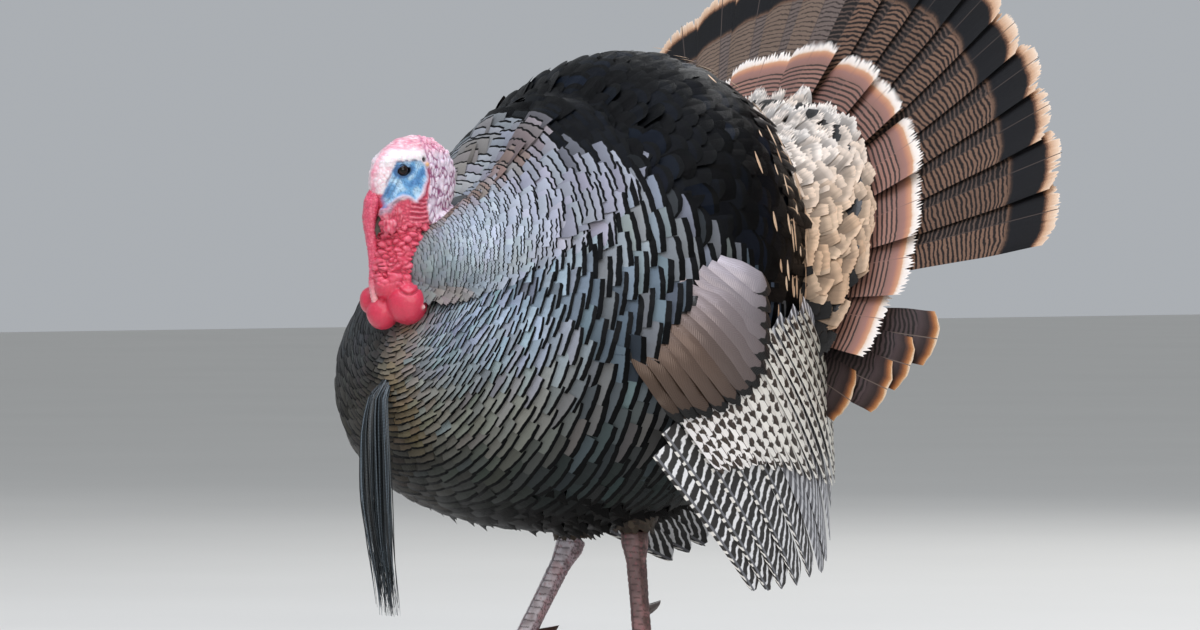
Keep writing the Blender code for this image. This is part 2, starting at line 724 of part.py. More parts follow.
def make_leg(suffix, hock, ankle, spur_height, trunk):
    """A feathered thigh's end, the bare shank on its pad, the spur, and the toes."""
    side = 1 if suffix == "left" else -1
    hock, ankle = Vector(hock), Vector(ankle)
    sideways = Vector((1, 0, 0))

    top = Vector((hock.x * THIGH_SPLAY, hock.y - THIGH_SET_FORWARD, THIGH_TOP_Z))
    thigh_rows = [(top.lerp(hock, share), sideways, *half_sizes) for share, *half_sizes in THIGH]
    thigh = cut_back(tube(f"thigh_{suffix}", thigh_rows, THIGH_SIDES, "thigh_plumage"), trunk)

    shank_rows = [(hock.lerp(ankle, share), sideways, *half_sizes) for share, *half_sizes in SHANK]
    for height, radius in PAD:
        shank_rows.append((Vector((ankle.x, ankle.y, height)), sideways, radius, radius))
    shank = tube(f"shank_{suffix}", shank_rows, SHANK_SIDES, "leg_scute")
    cut_back(shank, thigh, trunk)

    spur_root = hock.lerp(ankle, (hock.z - spur_height) / (hock.z - ankle.z))
    heading = Vector((-side * SPUR_TURN_IN, 1, 0)).normalized()
    spur_rows = []
    for share, radius in SPUR:
        middle = spur_root + heading * SPUR_LENGTH * share + Vector((0, 0, SPUR_RISE * share**2))
        spur_rows.append((middle, sideways, radius, radius * 1.15))
    spur_tip = spur_root + heading * SPUR_LENGTH + Vector((0, 0, SPUR_RISE * 1.15))
    cut_back(tube(f"spur_{suffix}", spur_rows, SPUR_SIDES, "claw_horn", end=spur_tip), shank)

    for name, toe_heading, length, radius in TOES:
        make_toe(f"{name}_toe_{suffix}", math.radians(toe_heading) * side, length, radius, ankle)


def make_toe(name, heading, length, radius, ankle):
    """A toe with a flat sole, and its claw. The hind toe starts higher up and comes down to the floor."""
    ahead = Vector((math.sin(heading), -math.cos(heading), 0))
    across = Vector((ahead.y, -ahead.x, 0))
    root_height = HIND_TOE_HEIGHT if "hind" in name else TOE_HEIGHT
    start = Vector((ankle.x, ankle.y, 0)) + ahead * (PAD_RADIUS + 2 * GAP)
    stations = []
    for share, thickness in TOE:
        r = radius * thickness
        sole_height = r * SOLE_SHARE
        height = sole_height + max(0.0, root_height - sole_height) * (1 - share) ** 3
        stations.append((start + ahead * length * share + Vector((0, 0, height)), across, r, r))
    tube(name, stations, TOE_SIDES, "leg_scute", floor=0.0, heading=ahead)

    claw_start = stations[-1][0] + ahead * GAP
    claw_rows = []
    for share, r in CLAW:
        drop = Vector((0, 0, -(claw_start.z - 2 * CLAW_TIP_HEIGHT) * share**2))
        claw_rows.append((claw_start + ahead * CLAW_LENGTH * share + drop, across, r, r))
    claw_tip = claw_start + ahead * CLAW_LENGTH
    claw_tip.z = CLAW_TIP_HEIGHT
    tube(name.replace("toe", "claw"), claw_rows, CLAW_SIDES, "claw_horn", claw_tip, 0.0, ahead)


def centre_on_floor():
    """Slides the whole bird so that the origin is under the middle of its box, on the floor."""
    corners = [v.co for thing in parts.objects for v in thing.data.vertices]
    low = Vector([min(c[i] for c in corners) for i in range(3)])
    high = Vector([max(c[i] for c in corners) for i in range(3)])
    shift = Vector((-(low.x + high.x) / 2, -(low.y + high.y) / 2, -low.z))
    for thing in list(parts.objects) + list(cutters.objects):
        thing.data.transform(Matrix.Translation(shift))
    print("moved by", [round(c, 4) for c in shift], "size", [round(c, 3) for c in high - low])


def build_turkey():
    trunk = make_trunk()
    neck = make_neck(trunk)

    eyes, ears = [], []
    for suffix, side in (("left", 1), ("right", -1)):
        eye_at = Vector(EYE_CENTRE) * Vector((side, 1, 1))
        ear_at = Vector(EAR_CENTRE) * Vector((side, 1, 1))
        eyes.append(ball(f"eye_{suffix}", eye_at, EYE_RADIUS, "eye", 10, 7))
        ears.append(ball(f"ear_{suffix}", ear_at, EAR_RADIUS, "crown_skin", 6, 5, (0.6, 1.2, 1)))
    head = make_head(neck, eyes, ears)
    throat = make_throat(neck)
    caruncles = make_caruncles(neck, trunk)
    upper_bill = cut_back(bill_half("upper_bill", UPPER_BILL, 1, BILL_HOOK, 1.0), head, throat)
    lower_bill = cut_back(bill_half("lower_bill", LOWER_BILL, -1, 0, 0.88), head, throat)
    make_snood(head, upper_bill, lower_bill, throat, caruncles, trunk)
    make_beard(trunk)

    fan, coverts, rump, undertail = make_tail(trunk)
    for suffix, side, stations in (("left", 1, LEFT_QUILLS), ("right", -1, RIGHT_QUILLS)):
        wing = cut_back(make_wing_coverts(side, suffix), trunk, rump)
        cut_back(make_wing_quills(side, suffix, stations), trunk, wing, rump, coverts, undertail, fan)
    make_leg("left", LEFT_HOCK, LEFT_ANKLE, LEFT_SPUR_HEIGHT, trunk)
    make_leg("right", RIGHT_HOCK, RIGHT_ANKLE, RIGHT_SPUR_HEIGHT, trunk)
    centre_on_floor()


clear_scene()
parts = new_collection("wild_turkey")
cutters = new_collection("cutters")
uncut = {}  # each piece's mesh by name, as it was before its neighbours were cut out of it
build_turkey()
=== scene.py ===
import math
from functools import partial

import bpy
import numpy as np
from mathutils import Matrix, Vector, noise
from mathutils.bvhtree import BVHTree


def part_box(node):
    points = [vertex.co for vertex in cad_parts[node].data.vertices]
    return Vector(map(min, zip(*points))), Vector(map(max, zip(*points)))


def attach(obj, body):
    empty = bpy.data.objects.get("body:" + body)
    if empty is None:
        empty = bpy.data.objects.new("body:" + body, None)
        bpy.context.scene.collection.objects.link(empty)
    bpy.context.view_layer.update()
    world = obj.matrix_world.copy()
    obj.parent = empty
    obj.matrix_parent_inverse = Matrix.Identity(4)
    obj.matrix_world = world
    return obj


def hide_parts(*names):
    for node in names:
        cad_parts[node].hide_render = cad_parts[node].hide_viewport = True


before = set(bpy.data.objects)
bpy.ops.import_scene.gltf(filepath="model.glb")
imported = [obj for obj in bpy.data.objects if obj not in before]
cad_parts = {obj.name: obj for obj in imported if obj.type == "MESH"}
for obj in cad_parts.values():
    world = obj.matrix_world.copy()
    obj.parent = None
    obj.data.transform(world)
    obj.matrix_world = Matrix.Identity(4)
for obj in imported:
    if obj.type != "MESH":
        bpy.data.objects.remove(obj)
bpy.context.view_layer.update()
chance = np.random.default_rng(18)

# Places are metres from the middle of the bird's stance: +X is its left, -Y is ahead, +Z is up
stance = np.array([
    (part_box("eye_left")[1].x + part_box("eye_right")[0].x) / 2,
    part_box("trunk")[0].y + 0.264,
    0.0,
])


# small tools

def linearColour(text):
    # "#rrggbb" in sRGB to linear numbers
    if not isinstance(text, str):
        return text
    parts = [int(text[i:i + 2], 16) / 255 for i in (1, 3, 5)]
    return np.array([c / 12.92 if c <= 0.04045 else ((c + 0.055) / 1.055) ** 2.4 for c in parts])


def rgba(text):
    return (*linearColour(text), 1)


def blendColours(stops, t):
    # colours between (place, hex) stops, for an array of places
    places = [place for place, _ in stops]
    colours = np.array([linearColour(text) for _, text in stops])
    return np.stack([np.interp(t, places, colours[:, i]) for i in range(3)], axis=-1)


def stacked(*parts):
    return np.stack(parts, axis=-1)


def mixed(a, b, share):
    return linearColour(a) + (linearColour(b) - linearColour(a)) * share[..., None]


def painted(tint, *layers):
    # (colour, share) layers, one over another
    for colour, share in layers:
        tint = mixed(tint, colour, np.clip(share, 0, 1))
    return tint


def ramp(t, low, high):
    # 0 below low, 1 above high, smooth between; high may be the smaller one
    s = np.clip((t - low) / (high - low), 0, 1)
    return s * s * (3 - 2 * s)


def hill(x, width):
    return np.exp(-((x / width) ** 2))


def lineDistance(points2d, line):
    distance = np.full(len(points2d), 1e9)
    for p, q in zip(np.array(line)[:-1], np.array(line)[1:]):
        edge = q - p
        t = np.clip(((points2d - p) @ edge) / (edge @ edge), 0, 1)
        distance = np.minimum(distance, np.linalg.norm(points2d - (p + t[:, None] * edge), axis=1))
    return distance


def lookUp(table, t):
    # straight-line values at t through rows of (t, value)
    return np.interp(t, *zip(*table))


def throughTable(table, t):
    # smooth values at t through rows of (t, value, value, ...)
    rows = np.array(table, float)
    x, values = rows[:, 0], rows[:, 1:]
    t = np.clip(np.asarray(t, float), x[0], x[-1])
    i = np.clip(np.searchsorted(x, t, side="right") - 1, 0, len(x) - 2)
    secants = np.diff(values, axis=0) / np.diff(x)[:, None]
    slopes = np.zeros_like(values)
    slopes[0], slopes[-1] = secants[0], secants[-1]
    before, after = secants[:-1], secants[1:]
    product = before * after
    slopes[1:-1] = np.where(product > 0, 2 * product / np.where(before + after == 0, 1, before + after), 0)
    span = (x[i + 1] - x[i])[..., None]
    u = ((t - x[i]) / (x[i + 1] - x[i]))[..., None]
    return (
        values[i] * (2 * u**3 - 3 * u**2 + 1) + slopes[i] * span * (u**3 - 2 * u**2 + u)
        + values[i + 1] * (3 * u**2 - 2 * u**3) + slopes[i + 1] * span * (u**3 - u**2)
    )


def between(table, i, j, nextI, nextJ, s, t):
    # bilinear value of a table, s and t of the way to the next row and column
    return (
        table[i, j] * (1 - s) * (1 - t) + table[nextI, j] * s * (1 - t)
        + table[i, nextJ] * (1 - s) * t + table[nextI, nextJ] * s * t
    )


def staggered(count, row, stray):
    # places along a row of feathers in steps, every other row half a step further
    return np.arange(count) + 0.5 * (row % 2) + chance.uniform(-stray, stray, count)


def fanShares(count):
    # -1 to 1 across a fan, one for the middle of each feather
    return 2 * (np.arange(count) + 0.5) / count - 1


def unit(v):
    return v / np.maximum(np.linalg.norm(v, axis=-1, keepdims=True), 1e-12)


def nodeShape(*names):
    # points and faces of CAD nodes, measured from the stance
    points, faces = [], []
    for name in names:
        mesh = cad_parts[name].data
        start = len(points)
        points += [tuple(np.array(v.co) - stance) for v in mesh.vertices]
        faces += [tuple(start + k for k in polygon.vertices) for polygon in mesh.polygons]
    return points, faces


def nodeTree(*names):
    return BVHTree.FromPolygons(*nodeShape(*names))


def addNode(tree, kind, settings=None, links=None):
    # one shader node: settings are its own properties or its inputs, links are nodes or sockets that feed its inputs
    node = tree.nodes.new("ShaderNode" + kind)
    for key, value in (settings or {}).items():
        if isinstance(key, int) or not hasattr(node, key):
            node.inputs[key].default_value = value
        else:
            setattr(node, key, value)
    for key, source in (links or {}).items():
        tree.links.new(source if isinstance(source, bpy.types.NodeSocket) else source.outputs[0], node.inputs[key])
    return node


def newMaterial(name):
    material = bpy.data.materials.new(name)
    material.use_nodes = True
    material.node_tree.nodes.clear()
    return material, partial(addNode, material.node_tree)


def closeMaterial(add, settings, colour, height, strength, depth):
    # the shader itself, with fine relief
    links = {"Base Color": colour}
    if height:
        links["Normal"] = add("Bump", {"Strength": strength, "Distance": depth}, {"Height": height})
    add("OutputMaterial", None, {"Surface": add("BsdfPrincipled", settings, links)})


def colourStops(node, stops, last=1.0):
    # puts (place, hex) stops on a colour ramp that reaches to the last place
    elements = node.color_ramp.elements
    for i, (at, text) in enumerate(stops):
        stop = elements[i] if i < 2 else elements.new(at / last)
        stop.position, stop.color = at / last, rgba(text)


def shown(piece, slot, *nodes):
    # what every finished piece gets
    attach(piece, "root")
    if nodes:
        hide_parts(*nodes)


def setTint(mesh, colours):
    whole = np.ones((len(colours), 4), np.float32)
    whole[:, :3] = colours
    mesh.attributes.new("tint", "FLOAT_COLOR", "POINT").data.foreach_set("color", whole.ravel())


def deselectAll():
    if bpy.context.object and bpy.context.object.mode != "OBJECT":
        bpy.ops.object.mode_set(mode="OBJECT")
    bpy.ops.object.select_all(action="DESELECT")


# materials

def vaneInputs(add):
    # a vane carries its own colour, and in millimetres the place from its tip and across it
    tint = add("Attribute", {"attribute_name": "tint"}).outputs["Color"]
    fromTip, across, band = [
        add("Attribute", {"attribute_name": key}).outputs["Fac"] for key in ("fromTip", "across", "band")
    ]
    return tint, fromTip, across, band, add("TexCoord").outputs["Object"]


def sineOf(add, source, pitch):
    phase = add("Math", {"operation": "MULTIPLY", 1: 2 * math.pi / pitch}, {0: source})
    return add("Math", {"operation": "SINE"}, {0: phase})


def featherMaterial(name, values):
    # keratin barbs: satin, a little metallic where the colour comes from structure, combed into fine lines
    material, add = newMaterial(name)
    tint, fromTip, across, band, place = vaneInputs(add)
    grain = add("TexNoise", {"Scale": 260.0, "Detail": 3.0}, {"Vector": place})
    # barbs slant from the shaft to the tip
    aside = add("Math", {"operation": "ABSOLUTE"}, {0: across})
    slanted = add("Math", {"operation": "MULTIPLY_ADD", 1: 0.9}, {0: aside, 2: fromTip})
    wobble = add("Math", {"operation": "MULTIPLY_ADD", 1: 1.2}, {0: grain, 2: slanted})
    barbs = sineOf(add, wobble, values["barb"])
    # dark terminal band
    edge = add("Math", {"operation": "MULTIPLY_ADD", 1: 1.6, 2: -0.8}, {0: grain})
    ragged = add("Math", {"operation": "ADD"}, {0: fromTip, 1: edge})
    inBand = add("Math", {"operation": "SUBTRACT"}, {0: ragged, 1: band})
    body = add("MapRange", {
        "interpolation_type": "SMOOTHSTEP", "From Min": -0.35, "From Max": values.get("bandSoft", 0.35),
    }, {"Value": inBand})
    darkened = add("Mix", {"data_type": "RGBA", 6: rgba(values["band"])}, {0: body, 7: tint})
    streak = add("MapRange", {
        "From Min": -1.0, "From Max": 1.0, "To Min": 1.0 - values["streak"], "To Max": 1.0 + values["streak"],
    }, {"Value": barbs})
    colour = add("VectorMath", {"operation": "SCALE"}, {0: darkened.outputs[2], "Scale": streak})
    closeMaterial(add, {
        "Roughness": values["roughness"], "Metallic": values.get("metallic", 0.0),
        "Specular IOR Level": values["specular"], "Sheen Weight": values.get("sheen", 0.0),
    }, colour, barbs, values["bump"], 0.0004)
    return material


def barredMaterial(name, values):
    # flight and tail feathers: slanted bars a few millimetres apart, a pale shaft, and bands near the tip.
    # Pairs are for the inner and the outer web. Bands are (mm from the tip, hex) and take the bars' place there.
    material, add = newMaterial(name)
    tint, fromTip, across, seed, place = vaneInputs(add)
    coarse = add("TexNoise", {"Scale": values["wander"], "Detail": 2.0}, {"Vector": place})
    fine = add("TexNoise", {"Scale": 900.0, "Detail": 2.0}, {"Vector": place})
    # the outer web is the positive side
    isOuter = add("MapRange", {"From Min": -0.4, "From Max": 0.4}, {"Value": across})
    slant, level = [add("MapRange", {
        "To Min": values[key][0], "To Max": values[key][1],
    }, {"Value": isOuter}) for key in ("slant", "level")]
    along = add("Attribute", {"attribute_name": values.get("along", "fromTip")}).outputs["Fac"]
    leaning = add("Math", {"operation": "MULTIPLY_ADD"}, {0: across, 1: slant, 2: along})
    seeded = add("Math", {"operation": "ADD"}, {0: leaning, 1: seed})
    wandering = add("Math", {"operation": "MULTIPLY_ADD", 1: values["stray"]}, {0: coarse, 2: seeded})
    wave = sineOf(add, wandering, values["pitch"])
    speckled = add("Math", {"operation": "MULTIPLY_ADD", 1: values["speckle"]}, {0: fine, 2: wave})
    aside = add("Math", {"operation": "ABSOLUTE"}, {0: across})
    if "diamond" in values:
        # dark spots on the shaft that narrow to both ends
        speckled = add("Math", {"operation": "MULTIPLY_ADD", 1: values["diamond"]}, {0: aside, 2: speckled})
    over = add("Math", {"operation": "SUBTRACT"}, {0: speckled, 1: level})
    isPale = add("MapRange", {
        "interpolation_type": "SMOOTHSTEP", "From Min": -values["soft"], "From Max": values["soft"],
    }, {"Value": over})
    dark, pale = [add("Mix", {
        "data_type": "RGBA", 6: rgba(values[key][0]), 7: rgba(values[key][1]),
    }, {0: isOuter}).outputs[2] for key in ("dark", "pale")]
    bars = add("Mix", {"data_type": "RGBA"}, {0: isPale, 6: dark, 7: pale})
    tinted = add("Mix", {"data_type": "RGBA", "blend_type": "MULTIPLY", 0: 1.0}, {6: bars.outputs[2], 7: tint})
    colour = tinted.outputs[2]
    if "bands" in values:
        # a ramp over the last millimetres replaces the bars
        last = values["bands"][-1][0]
        rough = add("Math", {"operation": "MULTIPLY_ADD", 1: values["bandStray"]}, {0: fine, 2: fromTip})
        curved = add("Math", {"operation": "MULTIPLY_ADD", 1: values["bandBend"]}, {0: aside, 2: rough})
        share = add("Math", {"operation": "DIVIDE", 1: last}, {0: curved})
        bands = add("ValToRGB", None, {"Fac": share})
        colourStops(bands, values["bands"], last)
        past = add("MapRange", {"From Min": 0.97}, {"Value": share})
        colour = add("Mix", {"data_type": "RGBA"}, {0: past, 6: bands, 7: colour}).outputs[2]
    isVane = add("MapRange", {"From Min": values["shaft"] * 0.6, "From Max": values["shaft"]}, {"Value": aside})
    withShaft = add("Mix", {"data_type": "RGBA", 6: rgba(values["shaftColour"])}, {0: isVane, 7: colour})
    barbLines = add("Math", {"operation": "MULTIPLY_ADD", 1: 0.9}, {0: aside, 2: fromTip})
    closeMaterial(add, {
        "Roughness": values["roughness"], "Specular IOR Level": values.get("specular", 0.5),
    }, withShaft.outputs[2], sineOf(add, barbLines, 0.8), 0.25, 0.0004)
    return material


def skinMaterial(name, values, settings):
    # bare skin: its colour lies in its own points, with fine creases over it
    material, add = newMaterial(name)
    tint = add("Attribute", {"attribute_name": "tint"})
    place = add("TexCoord").outputs["Object"]
    wrinkles = add("TexNoise", {"Scale": values["scale"], "Detail": 4.0}, {"Vector": place})
    patches = add("MapRange", {"To Min": 1 - values["patchy"], "To Max": 1 + values["patchy"]}, {"Value": wrinkles})
    colour = add("VectorMath", {"operation": "SCALE"}, {0: tint.outputs["Color"], "Scale": patches})
    height = wrinkles
    if "pores" in values:
        pores = add("TexVoronoi", {"Scale": values["pores"]}, {"Vector": place})
        height = add("Math", {"operation": "ADD"}, {0: pores.outputs["Distance"], 1: wrinkles})
    closeMaterial(add, settings, colour, height, *values["bump"])
    return material


def hornMaterial(name, low, high, roughness, scale):
    # horn grows in layers: streaks along the piece and a soft polish
    material, add = newMaterial(name)
    stretched = add("Mapping", {"Scale": (1.0, 1.0, 0.25)}, {"Vector": add("TexCoord").outputs["Object"]})
    layers = add("TexNoise", {"Scale": scale, "Detail": 5.0}, {"Vector": stretched})
    colour = add("Mix", {"data_type": "RGBA", 6: rgba(low), 7: rgba(high)}, {0: layers}).outputs[2]
    closeMaterial(add, {"Roughness": roughness}, colour, layers, 0.3, 0.0005)
    return material


# vanes: every feather is a thin closed lens of quads

def vaneTemplate(rows, columns):
    top = np.arange(rows * columns).reshape(rows, columns)
    under = top.copy()
    under[1:-1, 1:-1] = rows * columns + np.arange((rows - 2) * (columns - 2)).reshape(rows - 2, columns - 2)
    quads, corners = [], []
    for grid, isUnder in ((top, False), (under, True)):
        for i in range(rows - 1):
            for j in range(columns - 1):
                around = [(i, j), (i, j + 1), (i + 1, j + 1), (i + 1, j)]
                if isUnder:
                    around.reverse()
                quads.append([grid[a, b] for a, b in around])
                corners.append([(b / (columns - 1) + 1.2 * isUnder, a / (rows - 1)) for a, b in around])
    return np.array(quads), np.array(corners)


def makeVanes(name, material, slot, nodes, path, up, halfWidth, rowPlaces, columns, look):
    # path and up: (feathers, rows, 3); halfWidth: (feathers, rows); look: tint, camber, tilt, thickness, tip and fray
    # (feathers, columns), band, bars, outerSide, innerShare, and bakeCorner or bakeSize
    count, rows, _ = path.shape
    across = np.linspace(-1, 1, columns)
    along = unit(np.gradient(path, axis=1))
    side = unit(np.cross(along, up))
    up = np.cross(side, along)[:, :, None, :]

    def perVane(key, default):
        return np.broadcast_to(look.get(key, default), (count,))[:, None, None]

    outerSide = perVane("outerSide", 1.0)
    # the web on the inner side may be wider than the outer one
    reach = np.where(across * outerSide < 0, look.get("innerShare", 1.0), 1.0) * across
    wide = halfWidth[:, :, None]
    offset = wide * reach
    height = -perVane("camber", 0.12) * across ** 2 * wide + perVane("tilt", 0.0) * across * outerSide * wide
    endFade = np.sin(np.pi * np.clip(rowPlaces, 0.02, 0.98))[:, None] ** 0.3
    thick = look.get("thickness", 0.0005) * (1 - 0.7 * across ** 2) * endFade / 2
    push = ramp(rowPlaces, 0.55, 1.0)[:, None] * look.get("tip", np.zeros((count, columns)))[:, None, :]
    if "fray" in look:
        # hair-fine notches that reach only a little way in from the tip
        push = push + ramp(rowPlaces, look["frayFrom"], 1.0)[:, None] * look["fray"][:, None, :]
    middle = (
        path[:, :, None, :] + side[:, :, None, :] * offset[..., None] + up * height[..., None]
        + along[:, :, None, :] * push[..., None]
    )
    top, under = middle + up * thick[..., None], middle - up * thick[..., None]
    top[:, [0, -1]], top[:, :, [0, -1]] = middle[:, [0, -1]], middle[:, :, [0, -1]]
    points = np.concatenate([top.reshape(count, -1, 3), under[:, 1:-1, 1:-1].reshape(count, -1, 3)], axis=1)
    steps = np.linalg.norm(np.diff(path, axis=1), axis=2)
    travelled = np.concatenate([np.zeros((count, 1)), np.cumsum(steps, axis=1)], axis=1)

    def spreadOver(values):
        whole = np.broadcast_to(values, (count, rows, columns))
        return np.concatenate([whole.reshape(count, -1), whole[:, 1:-1, 1:-1].reshape(count, -1)], axis=1).ravel()

    quads, corners = vaneTemplate(rows, columns)
    size = points.shape[1]
    faces = (quads[None] + (np.arange(count) * size)[:, None, None]).reshape(-1, 4)
    mesh = bpy.data.meshes.new(name)
    mesh.vertices.add(count * size)
    mesh.vertices.foreach_set("co", (points.reshape(-1, 3) + stance).astype(np.float32).ravel())
    mesh.loops.add(faces.size)
    mesh.loops.foreach_set("vertex_index", faces.astype(np.int32).ravel())
    mesh.polygons.add(len(faces))
    mesh.polygons.foreach_set("loop_start", np.arange(0, faces.size, 4, dtype=np.int32))
    mesh.update(calc_edges=True)
    attributes = {"fromTip": (travelled[:, -1:] - travelled)[:, :, None] * 1000, "across": offset * outerSide * 1000,
                  "band": perVane("band", 0.0)}
    if "bars" in look:
        attributes["bars"] = look["bars"](middle) * 1000
    for key, values in attributes.items():
        mesh.attributes.new(key, "FLOAT", "POINT").data.foreach_set("value", spreadOver(values).astype(np.float32))
    tint = look.get("tint", 1.0)
    if np.ndim(tint) < 4:
        tint = np.broadcast_to(tint, (count, 3))[:, None, None, :]
    tint = np.broadcast_to(tint, (count, rows, columns, 3))
    setTint(mesh, np.stack([spreadOver(tint[..., i]) for i in range(3)], axis=-1))
    bakeSize = look.get("bakeSize", (0.003, 0.003))
    corner = look["bakeCorner"] if "bakeCorner" in look else gridCorners(count, bakeSize)
    uv = corners[None] * np.array(bakeSize) + corner[:, None, None, :]
    mesh.uv_layers.new(name="OFBake").data.foreach_set("uv", uv.astype(np.float32).ravel())
    mesh.materials.append(material)
    mesh.shade_smooth()
    mesh.set_sharp_from_angle(angle=math.radians(70))
    piece = bpy.data.objects.new(name, mesh)
    bpy.context.scene.collection.objects.link(piece)
    shown(piece, slot, *nodes)


def outline(rowPlaces, rootShare, fullAt, tipShare):
    # how wide a vane is along its length, against its half width
    opening = rootShare + (1 - rootShare) * ramp(rowPlaces, 0.0, fullAt)
    closing = 1 - (1 - tipShare) * ramp(rowPlaces, 0.75, 1.0)
    return opening * closing


def raggedTip(count, columns, corner, power, stray):
    # how far each column of the tip falls back, as a length
    corner, stray = np.reshape(corner, (-1, 1)), np.reshape(stray, (-1, 1))
    return -corner * np.abs(np.linspace(-1, 1, columns)) ** power + chance.normal(0, 1, (count, columns)) * stray


def frayedTip(count, columns, depth, stray):
    # every other column falls back, so the edge reads as loose barbs
    odd = np.where(np.arange(columns) % 2 == 1, -1.0, 0.0)
    return odd * depth * chance.uniform(0.4, 1.3, (count, columns)) + chance.normal(0, stray, (count, columns))


def gridCorners(count, size):
    # patches side by side in rows over the unit square, for feathers that lie apart from the body's skin
    perRow = max(1, int(0.98 / (size[0] * 2.4)))
    n = np.arange(count)
    return stacked(0.01 + (n % perRow) * size[0] * 2.4, 0.01 + (n // perRow) * size[1] * 1.15)


# the trunk, with the wings' upper parts, as a field of radii round its middle

trunkField = {"middle": np.array([0.0, -0.035, 0.37]), "rings": 91, "spokes": 180}


def measureTrunk():
    tree = nodeTree("trunk", "wing_left", "wing_right")
    rings, spokes = trunkField["rings"], trunkField["spokes"]
    tau = np.linspace(0, math.pi, rings)
    phi = np.linspace(-math.pi, math.pi, spokes, endpoint=False)
    radius = np.zeros((rings, spokes))
    middle = Vector(trunkField["middle"])
    for i, t in enumerate(tau):
        for j, p in enumerate(phi):
            way = Vector((math.sin(t) * math.sin(p), -math.cos(t), math.sin(t) * math.cos(p)))
            # from outside in, so that the outermost surface counts
            radius[i, j] = 0.6 - tree.ray_cast(middle + way * 0.6, -way)[3]
    # the solid's flat facets are smoothed away
    for _ in range(5):
        radius = (np.roll(radius, 1, 1) + 2 * radius + np.roll(radius, -1, 1)) / 4
        inner = (radius[:-2] + 2 * radius[1:-1] + radius[2:]) / 4
        radius[1:-1] = inner
    trunkField["radius"] = radius


def onTrunk(phi, tau, lift=0.0):
    # phi goes round from the top towards the bird's left, tau from the throat to the tail
    rings, spokes = trunkField["rings"], trunkField["spokes"]
    a = np.clip(tau / math.pi * (rings - 1), 0, rings - 1.001)
    b = ((phi + math.pi) / (2 * math.pi) * spokes) % spokes
    i, j = a.astype(int), b.astype(int) % spokes
    r = between(trunkField["radius"], i, j, i + 1, (j + 1) % spokes, a - i, b - np.floor(b))
    way = stacked(np.sin(tau) * np.sin(phi), -np.cos(tau), np.sin(tau) * np.cos(phi))
    return trunkField["middle"] + way * (r + lift)[..., None]


def trunkNormal(phi, tau):
    step = 0.02
    round1, round2 = onTrunk(phi - step, tau), onTrunk(phi + step, tau)
    ahead, behind = onTrunk(phi, tau - step), onTrunk(phi, tau + step)
    return unit(np.cross(behind - ahead, round2 - round1) * -1)


def trunkCoordinates(points):
    # phi and tau of points near the trunk, and how far each stands off it
    way = points - trunkField["middle"]
    r = np.linalg.norm(way, axis=-1)
    tau = np.arccos(np.clip(-way[..., 1] / r, -1, 1))
    phi = np.arctan2(way[..., 0], way[..., 2])
    surface = np.linalg.norm(onTrunk(phi, tau) - trunkField["middle"], axis=-1)
    return phi, tau, r - surface


def bodyCorner(phi, tau):
    # where a feather of the body lies in the bake's square
    return stacked((phi / (2 * math.pi) + 0.5) * 0.985, np.clip(tau / math.pi, 0, 1) * 0.99)


def isInside(tree, points, margin):
    # which points lie deeper than a margin inside a closed shape
    inside = np.zeros(len(points), bool)
    way = Vector((0.36, 0.48, 0.8))
    for n, p in enumerate(points):
        distance = tree.find_nearest(Vector(p))[3]
        if distance is None or distance <= margin:
            continue
        # an odd number of walls stands between a point inside and the open air
        start, walls = Vector(p), 0
        while walls < 24:
            met = tree.ray_cast(start, way)[0]
            if met is None:
                break
            start = met + way * 0.00001
            walls += 1
        inside[n] = walls % 2 == 1
    return inside


wingShape = {
    "halfWidth": 0.22, "halfDepth": 0.232, "middleY": -0.02, "lean": 0.22, "tipHeight": 0.2,
    # share across the wing, root angle, root height, tip angle, tip height
    "leftQuills": [(0.0, -22, 0.235, 5, 0.109), (0.2, -18, 0.268, 13, 0.107), (0.45, -10, 0.302, 25, 0.113),
                   (0.7, 2, 0.336, 42, 0.13), (0.88, 16, 0.36, 56, 0.19), (1.0, 26, 0.37, 55, 0.262)],
    "rightQuills": [(0.0, 4, 0.216, 57, 0.121), (0.2, 4, 0.252, 66, 0.131), (0.45, 8, 0.294, 71, 0.154),
                    (0.7, 14, 0.33, 73, 0.186), (0.88, 22, 0.356, 72, 0.228), (1.0, 28, 0.37, 68, 0.272)],
}


def wingAngle(p):
    # round from the bird's side towards its rear, on the wings' elliptical wrap
    return np.arctan2((p[..., 1] - wingShape["middleY"]) / wingShape["halfDepth"],
                      np.abs(p[..., 0]) / wingShape["halfWidth"])


measureTrunk()
print("trunk measured")


# camera, floor and light

cameraPlace = {"azimuth": 51.0, "elevation": 1.0, "distance": 8.0, "lens": 252.0, "height": 0.364, "aside": -0.00476}
# the level way towards the camera
cameraWay = np.array([0.777, -0.629, 0.0])


def makeCamera():
    a, e = math.radians(cameraPlace["azimuth"]), math.radians(cameraPlace["elevation"])
    back = Vector((math.sin(a) * math.cos(e), -math.cos(a) * math.cos(e), math.sin(e)))
    aside = Vector((math.cos(a), math.sin(a), 0)) * cameraPlace["aside"]
    target = Vector(stance) + Vector((0, 0, cameraPlace["height"])) + aside
    data = bpy.data.cameras.new("camera")
    data.lens = cameraPlace["lens"]
    data.sensor_width = 36
    camera = bpy.data.objects.new("camera", data)
    camera.location = target + back * cameraPlace["distance"]
    camera.rotation_euler = (-back).to_track_quat("-Z", "Y").to_euler()
    bpy.context.scene.collection.objects.link(camera)
    bpy.context.scene.camera = camera


